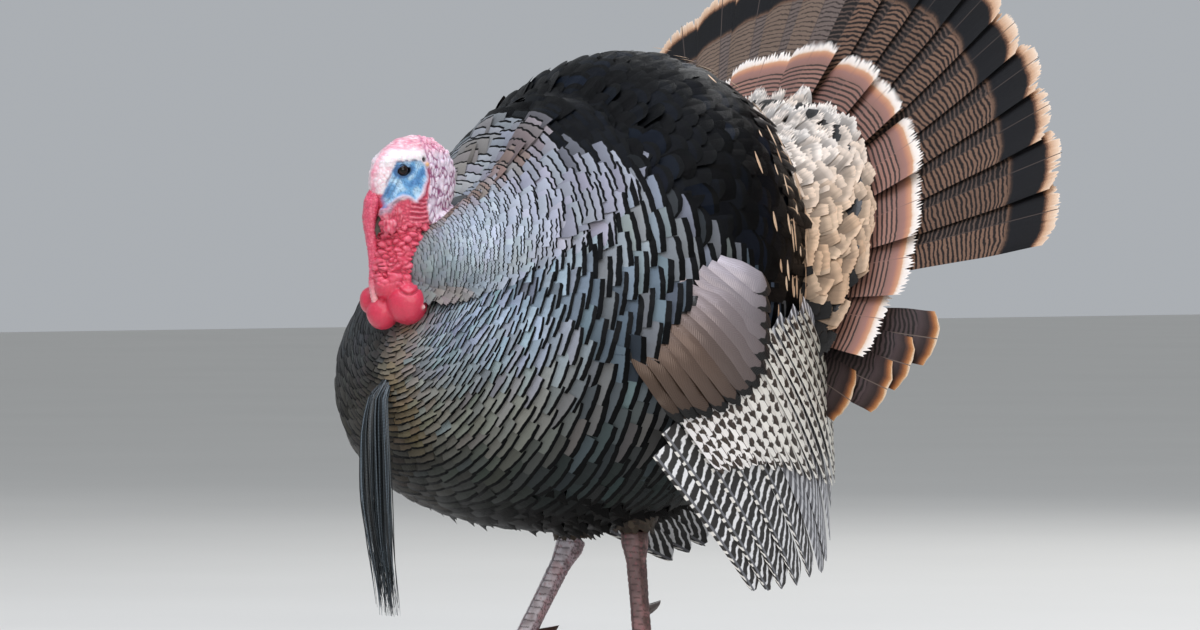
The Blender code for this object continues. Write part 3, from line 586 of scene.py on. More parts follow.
def makeFloor():
    deselectAll()
    bpy.ops.mesh.primitive_plane_add(size=30, location=(0, 0, 0))
    floor = bpy.context.object
    floor.name = "floor"
    # matt painted board
    material, add = newMaterial("paleFloorPaint")
    cloud = add("TexNoise", {"Scale": 2.0}, {"Vector": add("TexCoord").outputs["Object"]})
    colour = add("Mix", {"data_type": "RGBA", 6: rgba("#d6d4cf"), 7: rgba("#dddbd6")}, {0: cloud}).outputs[2]
    closeMaterial(add, {"Roughness": 0.8}, colour, None, 0.0, 0.0)
    floor.data.materials.append(material)


def makeLights():
    # plain display curve, so that colours show as they are mixed
    bpy.context.scene.view_settings.view_transform = "Standard"
    world = bpy.data.worlds.new("studio")
    bpy.context.scene.world = world
    world.use_nodes = True
    backdrop = world.node_tree.nodes["Background"]
    backdrop.inputs["Color"].default_value = rgba("#dfe4ea")
    backdrop.inputs["Strength"].default_value = 0.55
    lamps = [
        # name, place, size, watts, colour
        ("skyPanel", (0.6, -0.8, 3.2), 3.0, 95, "#eef3ff"),
        ("frontPanel", (3.4, -1.6, 1.8), 2.2, 52, "#fff8f0"),
        ("backPanel", (-1.5, 3.0, 2.4), 2.0, 40, "#ffffff"),
    ]
    for name, place, size, watts, text in lamps:
        data = bpy.data.lights.new(name, "AREA")
        data.size = size
        data.energy = watts
        data.color = linearColour(text)
        lamp = bpy.data.objects.new(name, data)
        lamp.location = Vector(place)
        lamp.rotation_euler = (Vector((0, 0, 0.35)) - lamp.location).to_track_quat("-Z", "Y").to_euler()
        bpy.context.scene.collection.objects.link(lamp)


makeCamera()
makeFloor()
makeLights()
print("camera, floor and light placed")


# plumage of the trunk

trunkPlumage = {
    "firstRow": 0.05, "lastRow": 2.95,  # radians from the throat
    "rowStep": [(0.0, 0.004), (0.35, 0.0044), (0.6, 0.0062), (0.85, 0.0092), (1.1, 0.0116), (1.4, 0.0128),
                (3.2, 0.013)],
    "width": [(0.0, 0.008), (0.35, 0.014), (0.6, 0.021), (0.85, 0.029), (1.1, 0.036), (3.2, 0.038)],
    "backWidth": 0.023,
    "length": [(0.0, 0.014), (0.35, 0.016), (0.85, 0.031), (1.2, 0.04), (3.2, 0.042)],
    "slope": 0.25,  # how steeply a feather rises from its root
    "droop": 0.1,
    "columns": 8,
    "silver": "#949da5", "silverDeep": "#495561", "breastBlue": "#97a6b5", "breastOlive": "#7c7a6b",
    "bronze": "#8f7448", "navyShade": "#343f4b", "flank": "#434d54", "lowBreast": "#1f2423",
    "belly": "#0b0b0b", "back": "#020203", "backBlue": "#0c1420", "farBreastShade": "#322d27", "vent": "#241f1c",
    "copper": "#877b70", "teal": "#84a0aa",
}


# tips of the wing's glossy coverts, from the lowest to the highest: share, degrees from the bird's side, height
covertTips = [(0.0, -15.5, 0.269), (0.14, -9.5, 0.272), (0.28, -2.8, 0.2806), (0.43, 3.5, 0.294), (0.57, 7.0, 0.3105),
              (0.71, 9.2, 0.334), (0.86, 9.3, 0.3605), (1.0, 9.4, 0.387)]


def underCoverts(p, margin):
    # points inside the glossy patch of the wing, less a margin that body feathers may lap over
    at = np.degrees(wingAngle(p))
    edge = np.interp(p[:, 2], [0.269, 0.327, 0.411], [-15.5, -25.0, 0.0])
    bottom = np.interp(at, [row[1] for row in covertTips], [row[2] for row in covertTips])
    return (at > edge + margin * 250) & (at < 12) & (p[:, 2] < 0.411 - 0.3 * margin) & (p[:, 2] > bottom - 0.02)


# the black back starts above this line: (place along the bird's flank as seen from its front left, height)
backLine = [(-0.112, 0.605), (-0.103, 0.562), (-0.056, 0.555), (-0.036, 0.521), (0.0, 0.521), (0.036, 0.51),
            (0.094, 0.4535), (0.13, 0.4265), (0.158, 0.388), (0.197, 0.33)]


# painted shadow in the furrow under the neck's and the mantle's overhang, in the same places
overhangShadowLine = [(-0.17, 0.38), (-0.155, 0.384), (-0.13, 0.393), (-0.103, 0.402), (-0.075, 0.399), (-0.05, 0.387),
              (-0.022, 0.36), (0.0, 0.336), (0.04, 0.324), (0.075, 0.322)]


def alongFlank(p):
    return -cameraWay[1] * np.abs(p[:, 0]) + cameraWay[0] * p[:, 1]


def onBack(p):
    place = alongFlank(p)
    wander = 0.004 * np.sin(p[:, 1] * 310) + 0.003 * np.sin(p[:, 0] * 520 + 1)
    return ramp(p[:, 2] - lookUp(backLine, place) + wander, -0.006, 0.006)


def trunkTint(p, count):
    # colour of a contour feather from its place on the body
    values = trunkPlumage
    x, y, z = p[:, 0], p[:, 1], p[:, 2]
    midline = hill(x - 0.012, 0.034) * ramp(y, -0.15, -0.21) * ramp(z, 0.2, 0.25)
    # single feathers catch the light in copper or blue-green
    odd = chance.random(count)
    tint = painted(
        values["breastBlue"],
        (values["silver"], ramp(z, 0.33, 0.42) * ramp(y, -0.22, -0.1)),
        (values["breastOlive"], 0.85 * (ramp(z, 0.35, 0.27) * ramp(y, 0.02, -0.1))),
        (values["bronze"], 0.7 * midline),
        (values["silverDeep"], 0.85 * ramp(y, -0.06, 0.02)),
        # painted shade under the mantle's overhang, and darker along the flank
        (values["navyShade"], 0.85 * ramp(y, -0.19, -0.13) * ramp(z, 0.42, 0.385) * ramp(z, 0.285, 0.325)),
        (values["flank"], 0.8 * ramp(y, -0.21, -0.15) * ramp(z, 0.325, 0.285)),
        (values["copper"], 0.24 * (odd < 0.2)),
        (values["teal"], 0.26 * (odd > 0.86)),
        (values["lowBreast"], 0.85 * ramp(z, 0.265, 0.215)),
        (values["belly"], ramp(z, 0.2, 0.172)),
        # painted shade: the far side of the breast, turned from the light, is darker
        (values["farBreastShade"], 0.9 * ramp(x, 0.01, -0.02) * ramp(y, -0.12, -0.18)),
    )
    # painted shade: the upper mantle darker, against the sky light that falls on it
    tint *= (1 - 0.3 * ramp(y, -0.17, -0.06) * ramp(z, 0.36, 0.42))[:, None]
    # painted shadow along the furrow under the overhang
    overhangShadow = lineDistance(stacked(alongFlank(p), z), overhangShadowLine)
    tint *= (1 - 0.62 * hill(overhangShadow, 0.0085))[:, None]
    back = onBack(p)
    blue = mixed(values["back"], values["backBlue"], chance.random(count) ** 3)
    return painted(tint, (blue, back), (values["vent"], ramp(y, 0.075, 0.12) * ramp(z, 0.36, 0.3))), back


def makeTrunkPlumage(material):
    values = trunkPlumage
    neckTree = nodeTree("neck")
    found = []
    tau = values["firstRow"]
    rowNumber = 0
    while tau < values["lastRow"]:
        step = lookUp(values["rowStep"], tau)
        frontWide = lookUp(values["width"], tau)
        ring = np.linspace(-math.pi, math.pi, 361)
        line = onTrunk(ring, 0 * ring + tau)
        lengths = np.linalg.norm(np.diff(line, axis=0), axis=1)
        meanRadius = float(np.linalg.norm(line - trunkField["middle"], axis=1).mean())
        # feathers are narrower on the back
        isBack = ramp(np.abs(ring[:-1]), 1.2, 0.7) * ramp(tau, 0.9, 1.3)
        wide = frontWide + (values["backWidth"] - frontWide) * isBack
        places = np.cumsum(lengths / wide)
        count = max(6, int(places[-1]))
        at = staggered(count, rowNumber, 0.16) * places[-1] / count
        phi = np.interp(at % places[-1], np.concatenate([[0], places]), ring)
        rowTau = tau + chance.normal(0, 0.055, count) * step / meanRadius
        found.append(np.stack([phi, rowTau, np.full(count, step), np.interp(phi, ring[:-1], wide)], axis=1))
        tau += step / meanRadius
        rowNumber += 1
    phi, tau, step, wide = np.concatenate(found).T
    # the neck's own feathers take over where the neck covers the trunk, and the wing's where it shows
    place = onTrunk(phi, tau)
    keep = ~isInside(neckTree, place, 0.01) & ~underCoverts(place, 0.012)
    phi, tau, step, wide = np.array([phi, tau, step, wide])[:, keep]
    count = len(phi)
    length = lookUp(values["length"], tau) * chance.uniform(0.92, 1.08, count)
    rowPlaces = np.array([0.0, 0.3, 0.6, 0.84, 0.95, 1.0])
    along = (rowPlaces - 1) * length[:, None]  # the tip lies at the feather's own place
    radius = np.linalg.norm(onTrunk(phi, tau) - trunkField["middle"], axis=1)
    tauLine = np.clip(tau[:, None] + along / radius[:, None], 0.012, math.pi - 0.02)
    swing = (chance.normal(0, 0.045, count) + values["droop"] * np.sin(phi))[:, None]
    phiLine = phi[:, None] + swing * along / (radius * np.maximum(np.sin(tau), 0.25))[:, None]
    slope = values["slope"] * chance.uniform(0.85, 1.15, count)[:, None]
    stray = chance.normal(0, 0.0006, count)[:, None] * rowPlaces ** 2
    lift = slope * along * ramp(tau, 0.0, 0.35)[:, None] + stray + 0.0015
    path = onTrunk(phiLine, tauLine, lift)
    up = trunkNormal(phiLine, tauLine)
    # under the upper front of the wing's glossy patch they lie lower
    at = np.degrees(wingAngle(path[:, -1]))
    sunk = (at > -10) & (at < 0) & (path[:, -1, 2] > 0.368) & (path[:, -1, 2] < 0.402)
    path[sunk] -= 0.006 * up[sunk]
    roll = chance.normal(0, 0.035, count)
    half = wide[:, None] * 0.6 * outline(rowPlaces, 0.55, 0.35, 0.985)
    tint, back = trunkTint(path[:, -1], count)
    roll = roll * (1 + 3.0 * back)
    tint = tint * (1 + chance.normal(0, 0.11, count)[:, None]) * (1 + chance.normal(0, 0.03, (count, 3)))
    columns = values["columns"]
    # duller towards the hidden root, brightest just before the black edge
    tint = tint[:, None, None, :] * np.array([0.35, 0.55, 0.85, 1.0, 1.12, 1.12])[:, None, None]
    band = np.interp(step, [0.004, 0.0128], [1.1, 4.3]) * chance.uniform(0.85, 1.2, count)
    band = band * (1 + 0.3 * ramp(path[:, -1, 1], -0.2, -0.12) * ramp(path[:, -1, 2], 0.2, 0.26))
    tip = raggedTip(count, columns, wide * 0.045 + back * wide * 0.3, 2.6, wide * 0.008)
    # a slanting cut to the tip, a little different on every feather
    tip += chance.normal(0, 0.018, count)[:, None] * wide[:, None] * np.linspace(-1, 1, columns)
    corner = bodyCorner(phi, tau)
    for n, part in enumerate(np.array_split(np.argsort(phi), 3)):
        makeVanes(
            f"bodyFeathers{n + 1}", material, "breast_plumage", ["trunk"] if n == 0 else [], path[part], up[part],
            half[part], rowPlaces, columns, {
                "tint": tint[part], "band": band[part], "tip": tip[part], "camber": 0.07, "tilt": roll[part],
                "bakeCorner": corner[part],
            })
    print("trunk plumage:", count, "feathers")


looseRows = np.array([0.0, 0.3, 0.6, 0.85, 1.0])
bellyFringe = {"rows": 3, "first": 1.0, "last": 1.95, "length": (0.012, 0.021), "width": 0.02, "black": "#060606"}


def makeBellyFringe(material):
    # loose black feathers whose tips hang below the belly
    values = bellyFringe
    found = []
    for row in range(values["rows"]):
        for side in (-1, 1):
            tau = np.arange(values["first"], values["last"], 0.03) + chance.uniform(-0.01, 0.01)
            # nearer the midline behind, wider in front
            phi = side * (math.pi - 0.08 - 0.17 * row - 0.16 * ramp(tau, 1.5, 1.1)) + chance.normal(0, 0.05, len(tau))
            found.append(np.stack([phi, tau + chance.normal(0, 0.01, len(tau))], axis=1))
    phi, tau = np.concatenate(found).T
    count = len(phi)
    length = chance.uniform(*values["length"], count)
    rowPlaces = looseRows
    root = onTrunk(phi, tau, -0.006)
    flow = unit(onTrunk(phi, tau + 0.05) - onTrunk(phi, tau - 0.05))
    way = unit(0.75 * flow + 0.75 * np.array([0, 0, -1.0]) + chance.normal(0, 0.1, (count, 3)))
    reach = rowPlaces[:, None] * length[:, None, None]
    path = root[:, None, :] + way[:, None, :] * reach + flow[:, None, :] * reach * rowPlaces[:, None] * 0.25
    up = trunkNormal(phi, tau)[:, None, :]
    half = values["width"] * 0.5 * outline(rowPlaces, 0.6, 0.4, 0.45) * chance.uniform(0.7, 1.2, count)[:, None]
    tint = linearColour(values["black"]) * chance.uniform(0.7, 1.6, (count, 1))
    makeVanes("bellyFeathers", material, "breast_plumage", [], path, up, half, rowPlaces, 5, {
        "tint": tint, "tip": raggedTip(count, 5, half[:, 2], 1.6, 0.001), "camber": 0.15,
        "bakeCorner": bodyCorner(phi, tau),
    })


backSlivers = {"count": 170, "width": 0.0036, "length": (0.007, 0.028), "cream": "#dcc0a2", "buff": "#b89474"}


def makeBackSlivers(material):
    # pale edges of the last black feathers before the rump
    values = backSlivers
    pool = chance.uniform(0, 1, (values["count"] * 12, 2))
    phi = -1.75 + 3.5 * pool[:, 0]
    tau = 1.5 + 0.95 * pool[:, 1]
    p = onTrunk(phi, tau)
    likely = ramp(p[:, 1], -0.03, 0.13) ** 2 * ramp(p[:, 2], 0.33, 0.36)
    keep = np.flatnonzero(chance.random(len(phi)) < likely)[:values["count"]]
    phi, tau = phi[keep], tau[keep]
    count = len(phi)
    length = chance.uniform(*values["length"], count)
    rowPlaces = np.array([0.0, 0.25, 0.5, 0.75, 1.0])
    radius = np.linalg.norm(onTrunk(phi, tau) - trunkField["middle"], axis=1)
    reach = (rowPlaces - 0.5) * length[:, None]
    # they run round the body, across the lie of the coat
    turn = np.sign(phi)[:, None] * reach / (radius * np.sin(tau))[:, None]
    path = onTrunk(phi[:, None] + turn, tau[:, None] + 0.15 * reach / radius[:, None], 0.0066)
    up = trunkNormal(phi[:, None] + turn, tau[:, None] + 0 * turn)
    swell = np.sin(math.pi * (0.08 + 0.84 * rowPlaces))
    half = values["width"] * 0.5 * swell * chance.uniform(0.7, 1.4, count)[:, None]
    tint = mixed(values["cream"], values["buff"], chance.random(count))
    makeVanes("backEdges", material, "breast_plumage", [], path, up, half, rowPlaces, 5, {
        "tint": tint, "band": -2.0, "camber": 0.2, "bakeCorner": bodyCorner(phi, tau),
    })


bodyFeather = featherMaterial("contourFeatherKeratin", {
    "roughness": 0.4, "metallic": 0.24, "specular": 0.1, "band": "#030405", "barb": 1.1, "streak": 0.1, "bump": 0.3,
})
softFeather = featherMaterial("downyFeatherKeratin", {
    "roughness": 0.75, "specular": 0.3, "band": "#4a382c", "barb": 0.9, "streak": 0.12, "bump": 0.4, "sheen": 0.15,
})
makeTrunkPlumage(bodyFeather)
makeBellyFringe(bodyFeather)
makeBackSlivers(softFeather)


backRim = {"rows": 5, "from": 0.085, "width": 0.015, "length": (0.026, 0.04), "black": "#050506", "cream": "#d2b394"}


def makeBackRim(material):
    # loose feathers along the rear rim of the back, lying over the rump
    values = backRim
    found, down = [], np.linspace(1.3, 2.7, 60)
    for row in range(values["rows"]):
        phi = np.arange(-1.75, 1.75, 0.06) + chance.normal(0, 0.012, 59) + 0.03 * (row % 2)
        for at in phi:
            line = onTrunk(at + 0 * down, down)
            past = np.flatnonzero(line[:, 1] > values["from"] + 0.009 * row)
            if len(past) and line[past[0], 2] > 0.335:
                found.append((at, down[past[0]]))
    phi, tau = np.array(found).T
    count = len(phi)
    length = chance.uniform(*values["length"], count)
    rowPlaces = looseRows
    flow = unit(onTrunk(phi, tau) - onTrunk(phi, tau - 0.12))
    normal = trunkNormal(phi, tau - 0.06)
    way = unit(flow + 0.1 * normal + chance.normal(0, 0.09, (count, 3)))
    reach = rowPlaces[:, None] * length[:, None, None]
    path = (onTrunk(phi, tau) + 0.0005 * normal)[:, None, :] + way[:, None, :] * reach
    path -= normal[:, None, :] * (0.006 * rowPlaces[:, None] ** 2)
    up = normal[:, None, :]
    half = values["width"] * 0.5 * outline(rowPlaces, 0.6, 0.4, 0.7) * chance.uniform(0.7, 1.3, count)[:, None]
    tint = linearColour(values["black"]) * chance.uniform(0.6, 3.0, (count, 1))
    tint = np.broadcast_to(tint[:, None, None, :], (count, 5, 7, 3)).copy()
    # a few wear a pale edge on one side
    edged = chance.random(count) < 0.42
    tint[edged, 1:, 0] = linearColour(values["cream"])
    tint[edged, 2:, 1] = linearColour(values["cream"]) * 0.8
    makeVanes("backRimFeathers", material, "breast_plumage", [], path, up, half, rowPlaces, 7, {
        "tint": tint, "band": -2.0, "tip": raggedTip(count, 7, half[:, 2] * 0.9, 1.8, 0.001), "camber": 0.15,
        "bakeCorner": bodyCorner(phi, tau), "tilt": chance.normal(0, 0.1, count),
    })


makeBackRim(bodyFeather)


# plumage of the neck

neckPlumage = {
    "front": -0.252, "rear": -0.058,
    "rowStep": [(-0.252, 0.0022), (-0.215, 0.003), (-0.17, 0.0048), (-0.12, 0.0074), (-0.066, 0.0098)],
    "width": [(-0.252, 0.0058), (-0.215, 0.0088), (-0.17, 0.019), (-0.12, 0.033), (-0.066, 0.038)],
    "length": [(-0.252, 0.012), (-0.17, 0.02), (-0.066, 0.032)],
    "slope": 0.19,
    "silver": "#a6b0bb", "lilac": "#aaa8b6", "crest": "#8f6f58", "hairline": "#84908f", "under": "#6d7a82",
    "orange": "#8f6a50", "farSilver": "#a5adb0",
}


def makeNeckPlumage(material):
    values = neckPlumage
    tree = nodeTree("neck", "trunk")
    ys = np.linspace(values["front"] + 0.003, values["rear"] + 0.03, 48)
    angles = np.linspace(-math.pi, math.pi, 145)
    heights = np.interp(ys, [-0.246, -0.15, -0.07], [0.408, 0.43, 0.47])
    grid = np.zeros((len(ys), len(angles), 3))
    for i, y in enumerate(ys):
        for j, a in enumerate(angles):
            # outer surface at ring angle a, where 0 is the top and positive angles are on the left
            way, middle = Vector((math.sin(a), 0, math.cos(a))), Vector((0, y, heights[i]))
            grid[i, j] = tree.ray_cast(middle + way * 0.4, -way)[0] or middle
    for _ in range(3):
        grid[:, 1:-1] = (grid[:, :-2] + 2 * grid[:, 1:-1] + grid[:, 2:]) / 4
        grid[1:-1] = (grid[:-2] + 2 * grid[1:-1] + grid[2:]) / 4
    slopeY = np.gradient(grid, ys, axis=0)
    slopeA = np.gradient(grid, angles, axis=1)
    normals = unit(np.cross(slopeY, slopeA))
    outward = grid - stacked(0 * grid[..., 0], grid[..., 1], heights[:, None] + 0 * grid[..., 0])
    normals *= np.sign((normals * outward).sum(-1, keepdims=True))

    def sample(table, y, a):
        i = np.clip((y - ys[0]) / (ys[-1] - ys[0]) * (len(ys) - 1), 0, len(ys) - 1.001)
        j = np.clip((a + math.pi) / (2 * math.pi) * (len(angles) - 1), 0, len(angles) - 1.001)
        k, m = i.astype(int), j.astype(int)
        return between(table, k, m, k + 1, m + 1, (i - k)[..., None], (j - m)[..., None])

    feathers = []
    y = values["front"] + 0.003
    rowNumber = 0
    while y < values["rear"] + 0.012:
        step = lookUp(values["rowStep"], y)
        wide = lookUp(values["width"], y)
        line = sample(grid, np.full(400, y), np.linspace(-math.pi, math.pi, 400))
        lengths = np.concatenate([[0], np.cumsum(np.linalg.norm(np.diff(line, axis=0), axis=1))])
        count = max(5, int(lengths[-1] / wide))
        at = staggered(count, rowNumber, 0.25) * lengths[-1] / count
        a = np.interp(at % lengths[-1], lengths, np.linspace(-math.pi, math.pi, 400))
        for angle in a:
            feathers.append((y + chance.normal(0, 0.06) * step, angle, step, wide))
        # rings stand closer where the surface turns away from the neck's length
        y += step * 0.85
        rowNumber += 1
    y, a, step, wide = np.array(feathers).T
    place = sample(grid, y, a)
    away = np.array([neckSolid.find_nearest(Vector(p))[3] for p in place])
    keep = away < np.interp(y, [-0.13, -0.1], [0.012, 0.02])
    y, a, step, wide = np.array([y, a, step, wide])[:, keep]
    count = len(y)
    length = lookUp(values["length"], y) * chance.uniform(0.9, 1.1, count)
    rowPlaces = np.array([0.0, 0.3, 0.6, 0.85, 0.95, 1.0])
    yLine = y[:, None] + (rowPlaces - 1) * length[:, None] * 0.9
    # feathers fall away from the crest as they go back
    fall = np.sign(a) * 0.3 * np.sin(np.clip(np.abs(a), 0, math.pi))
    aLine = a[:, None] + (rowPlaces - 1) * (length / 0.11 * (fall + chance.normal(0, 0.05, count)))[:, None]
    yLine = np.clip(yLine, ys[0], ys[-1])
    path, up = sample(grid, yLine, aLine), unit(sample(normals, yLine, aLine))
    # none stands up at the neck's rear rim, where the trunk's feathers go on
    phi, tau, _ = trunkCoordinates(path[:, -1])
    flat = ((trunkNormal(phi, tau) * up[:, -1]).sum(1) > 0.86) | (y < -0.115)
    y, a, step, wide, length, path, up = [of[flat] for of in (y, a, step, wide, length, path, up)]
    count = len(y)
    lift = values["slope"] * (rowPlaces - 1) * length[:, None] + 0.001
    path = path + up * (lift + chance.normal(0, 0.0003, count)[:, None] * rowPlaces)[..., None]
    x, tipY, z = path[:, -1].T
    nearCrest = hill(a - 0.42, 0.2) + 0.6 * hill(a + 0.45, 0.2)
    # two warm spots behind the throat
    patch = np.exp(-(((tipY + 0.229) / 0.01) ** 2 + ((z - 0.383) / 0.008) ** 2))
    patch += 0.6 * np.exp(-(((tipY + 0.196) / 0.006) ** 2 + ((z - 0.39) / 0.006) ** 2))
    tint = painted(
        values["silver"],
        (values["lilac"], 0.6 * ramp(tipY, -0.2, -0.13)),
        (values["farSilver"], 0.7 * ramp(x, 0.004, -0.01)),
        (values["crest"], 0.8 * nearCrest * ramp(tipY, -0.08, -0.14)),
        (values["hairline"], ramp(tipY, -0.205, -0.24) * 0.7),
        (values["under"], ramp(z, 0.42, 0.385) * 0.5),
        (values["orange"], np.clip(patch, 0, 0.4) * (x > 0)),
    )
    black = linearColour(trunkPlumage["back"]) + 0.004 * chance.random((count, 1)) * np.array([0.4, 0.8, 1.6])
    # painted shade: darker towards the neck's rear, against the sky light on its upper side
    tint *= (1 - 0.3 * ramp(tipY, -0.19, -0.1))[:, None]
    tint = mixed(tint, black, onBack(path[:, -1]))
    tint = tint * (1 + chance.normal(0, 0.09, count)[:, None]) * (1 + chance.normal(0, 0.02, (count, 3)))
    half = wide[:, None] * 0.62 * outline(rowPlaces, 0.6, 0.4, 0.985)
    columns = 9
    tint = tint[:, None, None, :] * np.array([0.4, 0.6, 0.85, 1.0, 1.1, 1.1])[:, None, None]
    corner = stacked((a / (2 * math.pi) + 0.5) * 0.985, (y - ys[0]) / (ys[-1] - ys[0]) * 0.97)
    makeVanes("neckFeathers", material, "neck_plumage", ["neck"], path, up, half, rowPlaces, columns, {
        "tint": tint, "band": np.interp(step, [0.0022, 0.005, 0.0098], [0.5, 1.5, 3.2]),
        "tip": raggedTip(count, columns, wide * 0.05, 3.0, wide * 0.005), "camber": 0.1,
        "tilt": chance.normal(0, 0.03, count), "thickness": 0.00035, "bakeCorner": corner,
        "fray": frayedTip(count, columns, 0.001, 0.0002), "frayFrom": 0.8,
    })
    print("neck plumage:", count, "feathers")


neckSolid = nodeTree("neck")
makeNeckPlumage(bodyFeather)


# the tail, on a shallow cone

tailShape = {
    "root": np.array([0.0, 0.12, 0.376]), "slope": math.radians(-22), "cone": math.radians(80),
    "inner": 0.085,  # where the quills start
}


def tailAxes():
    slope = tailShape["slope"]
    return np.array([0, math.cos(slope), math.sin(slope)]), np.array([0, -math.sin(slope), math.cos(slope)])


def tailFrame(angle):
    # along a quill, forward off the cone, for angles round from the top
    (back, up), cone = tailAxes(), tailShape["cone"]
    outward = up * np.cos(angle)[..., None] + np.array([1.0, 0, 0]) * np.sin(angle)[..., None]
    quill = back * math.cos(cone) + outward * math.sin(cone)
    forward = outward * math.cos(cone) - back * math.sin(cone)
    return quill, forward


def tailPoint(radius, angle, lift):
    quill, forward = tailFrame(angle)
    return tailShape["root"] + quill * np.asarray(radius)[..., None] + forward * np.asarray(lift)[..., None]


rectrices = {
    "count": 18, "spread": math.radians(76), "reach": (0.41, 0.414), "halfWidth": 0.038, "rows": 30, "columns": 41,
}


def rectrixNotches(count, columns):
    # worn tips: a few deep splits and many shallow ones
    notch = frayedTip(count, columns, 0.0022, 0.0005)
    deep = chance.random((count, columns)) < 0.1
    return notch - deep * chance.uniform(0.004, 0.012, (count, columns))


def makeRectrices():
    values = rectrices
    look = {
        "specular": 0.22, "roughness": 0.55, "wander": 75.0, "pitch": 5.4, "stray": 7.0, "speckle": 2.3, "soft": 0.5,
        "slant": (-0.12, 0.2), "level": (1.55, 1.05),
        "dark": ("#151110", "#1c1513"), "pale": ("#55453d", "#755a4a"),
        "bands": [(0.0, "#efe6da"), (7.0, "#e2c6ac"), (16.0, "#c39a7a"), (20.0, "#6e4c38"), (23.0, "#0d0c0e"),
                  (58.0, "#0c0c10"), (61.0, "#30241e"), (64.0, "#6d5343"), (66.0, "#1f1816")],
        "bandStray": 6.0, "bandBend": 0.1, "shaft": 0.6, "shaftColour": "#453b37",
    }
    material = barredMaterial("barredTailKeratin", look)
    # painted light: the far half of the fan, which faces the light, is a paler copy with finer speckle
    litFarMaterial = barredMaterial("litSpeckledTailKeratin", {
        **look, "level": (0.8, 0.65), "speckle": 2.8, "dark": ("#292220", "#241c1a"), "pale": ("#6b5e58", "#766457"),
        "shaftColour": "#4d433f",
    })
    count, rows, columns, (middle, edge) = [values[key] for key in ("count", "rows", "columns", "reach")]
    share = fanShares(count)
    angle = share * values["spread"]
    reach = middle + (edge - middle) * share**2 + chance.normal(0, 0.0025, count)
    rowPlaces = np.concatenate([np.linspace(0, 0.86, rows - 8), np.linspace(0.88, 1.0, 8)])
    radius = tailShape["inner"] + (reach[:, None] - tailShape["inner"]) * rowPlaces
    lean = angle[:, None] + np.sign(share)[:, None] * 0.01 * (rowPlaces - 0.5)
    # the middle feathers lie in front
    lift = 0.002 - 0.0035 * np.abs(share)[:, None] + 0.003 * rowPlaces ** 3
    path, up = tailPoint(radius, lean, lift), tailFrame(lean)[1]
    half = values["halfWidth"] * (0.2 + 0.8 * (radius / reach[:, None])) * outline(rowPlaces, 0.35, 0.3, 0.93)
    tip = raggedTip(count, columns, 0.015, 2.8, 0.0004)
    tint = chance.uniform(0.9, 1.12, (count, 1))
    size = (0.02, 0.28)
    corner, band = gridCorners(count, size), chance.uniform(0, 5, count)
    notches = rectrixNotches(count, columns)
    isFar = share < -0.05
    for name, part, web, nodes in (
        ("tailQuills", ~isFar, material, ["tail_fan"]), ("tailQuillsFar", isFar, litFarMaterial, []),
    ):
        makeVanes(name, web, "tail_plumage", nodes, path[part], up[part], half[part], rowPlaces, columns, {
            "tint": tint[part], "band": band[part], "tip": tip[part], "camber": 0.05, "tilt": 0.085,
            "thickness": 0.0011, "outerSide": np.sign(share[part]), "innerShare": 0.95, "bakeCorner": corner[part],
            "bakeSize": size, "fray": notches[part], "frayFrom": 0.955,
        })
    print("tail fan made")


makeRectrices()

coverts = {
    "count": 13, "spread": math.radians(97), "reach": (0.286, 0.232), "tipLift": 0.0086, "halfWidth": 0.041,
    "rows": 16, "columns": 45,
}


def makeTailCoverts():
    values = coverts
    material = barredMaterial("tailCovertKeratin", {
        "roughness": 0.6, "wander": 30.0, "pitch": 5.4, "stray": 4.0, "speckle": 0.25, "soft": 0.35,
        "slant": (0.0, 0.0), "level": (-0.15, -0.15),
        "dark": ("#33231e", "#33231e"), "pale": ("#8d675b", "#966e60"),
        "bands": [(0.0, "#f6efe8"), (9.0, "#efe3d8"), (12.0, "#e6cdb6"), (13.4, "#cf9a76"), (17.5, "#b98065"),
                  (21.0, "#9c7166"), (29.0, "#8a655a")],
        "bandStray": 1.5, "bandBend": 0.02, "shaft": 0.5, "shaftColour": "#8a675c",
    })
    count, reach = values["count"], values["reach"]
    share = fanShares(count)
    angle = share * values["spread"] + chance.normal(0, 0.018, count)
    far = reach[0] + (reach[1] - reach[0]) * share**2 + chance.normal(0, 0.0035, count)
    rows, columns = values["rows"], values["columns"]
    rowPlaces = np.concatenate([np.linspace(0, 0.88, rows - 5), [0.92, 0.945, 0.965, 0.985, 1.0]])
    radius = 0.1 + (far[:, None] - 0.1) * rowPlaces
    lift = values["tipLift"] + 0.008 * (1 - rowPlaces) - 0.004 * np.abs(share)[:, None]
    lift = lift + chance.normal(0, 0.0006, count)[:, None]
    path, up = tailPoint(radius, angle[:, None], lift), tailFrame(angle[:, None])[1]
    half = values["halfWidth"] * (0.35 + 0.65 * radius / far[:, None]) * outline(rowPlaces, 0.5, 0.3, 0.985)
    tip = raggedTip(count, columns, values["halfWidth"] * 0.16, 3.6, 0.0003)
    makeVanes("tailCovertFeathers", material, "rump_plumage", ["tail_coverts"], path, up, half, rowPlaces, columns, {
        "tint": chance.uniform(0.9, 1.1, (count, 1)), "band": chance.uniform(0, 1.5, count),
        "tip": tip, "camber": 0.04, "tilt": 0.12, "thickness": 0.0008, "outerSide": np.where(share < 0, -1.0, 1.0),
        "bakeSize": (0.03, 0.14),
        "fray": frayedTip(count, columns, 0.0065, 0.001), "frayFrom": 0.93,
    })
    print("tail coverts made")


makeTailCoverts()

rumpPlumage = {
    "firstRadius": 0.096, "lastRadius": 0.232, "rowStep": 0.0064, "width": 0.024, "spread": math.radians(106),
    "edge": math.radians(104),
    "rootRadius": 0.08, "reach": (0.226, 0.19), "frontRoot": 0.103, "frontTip": 0.019, "power": 1.6,
    "length": 0.036, "columns": 13,
    "cream": "#dcbfa2", "pale": "#f6efe7", "tan": "#b98d66", "dark": "#12100e",
}


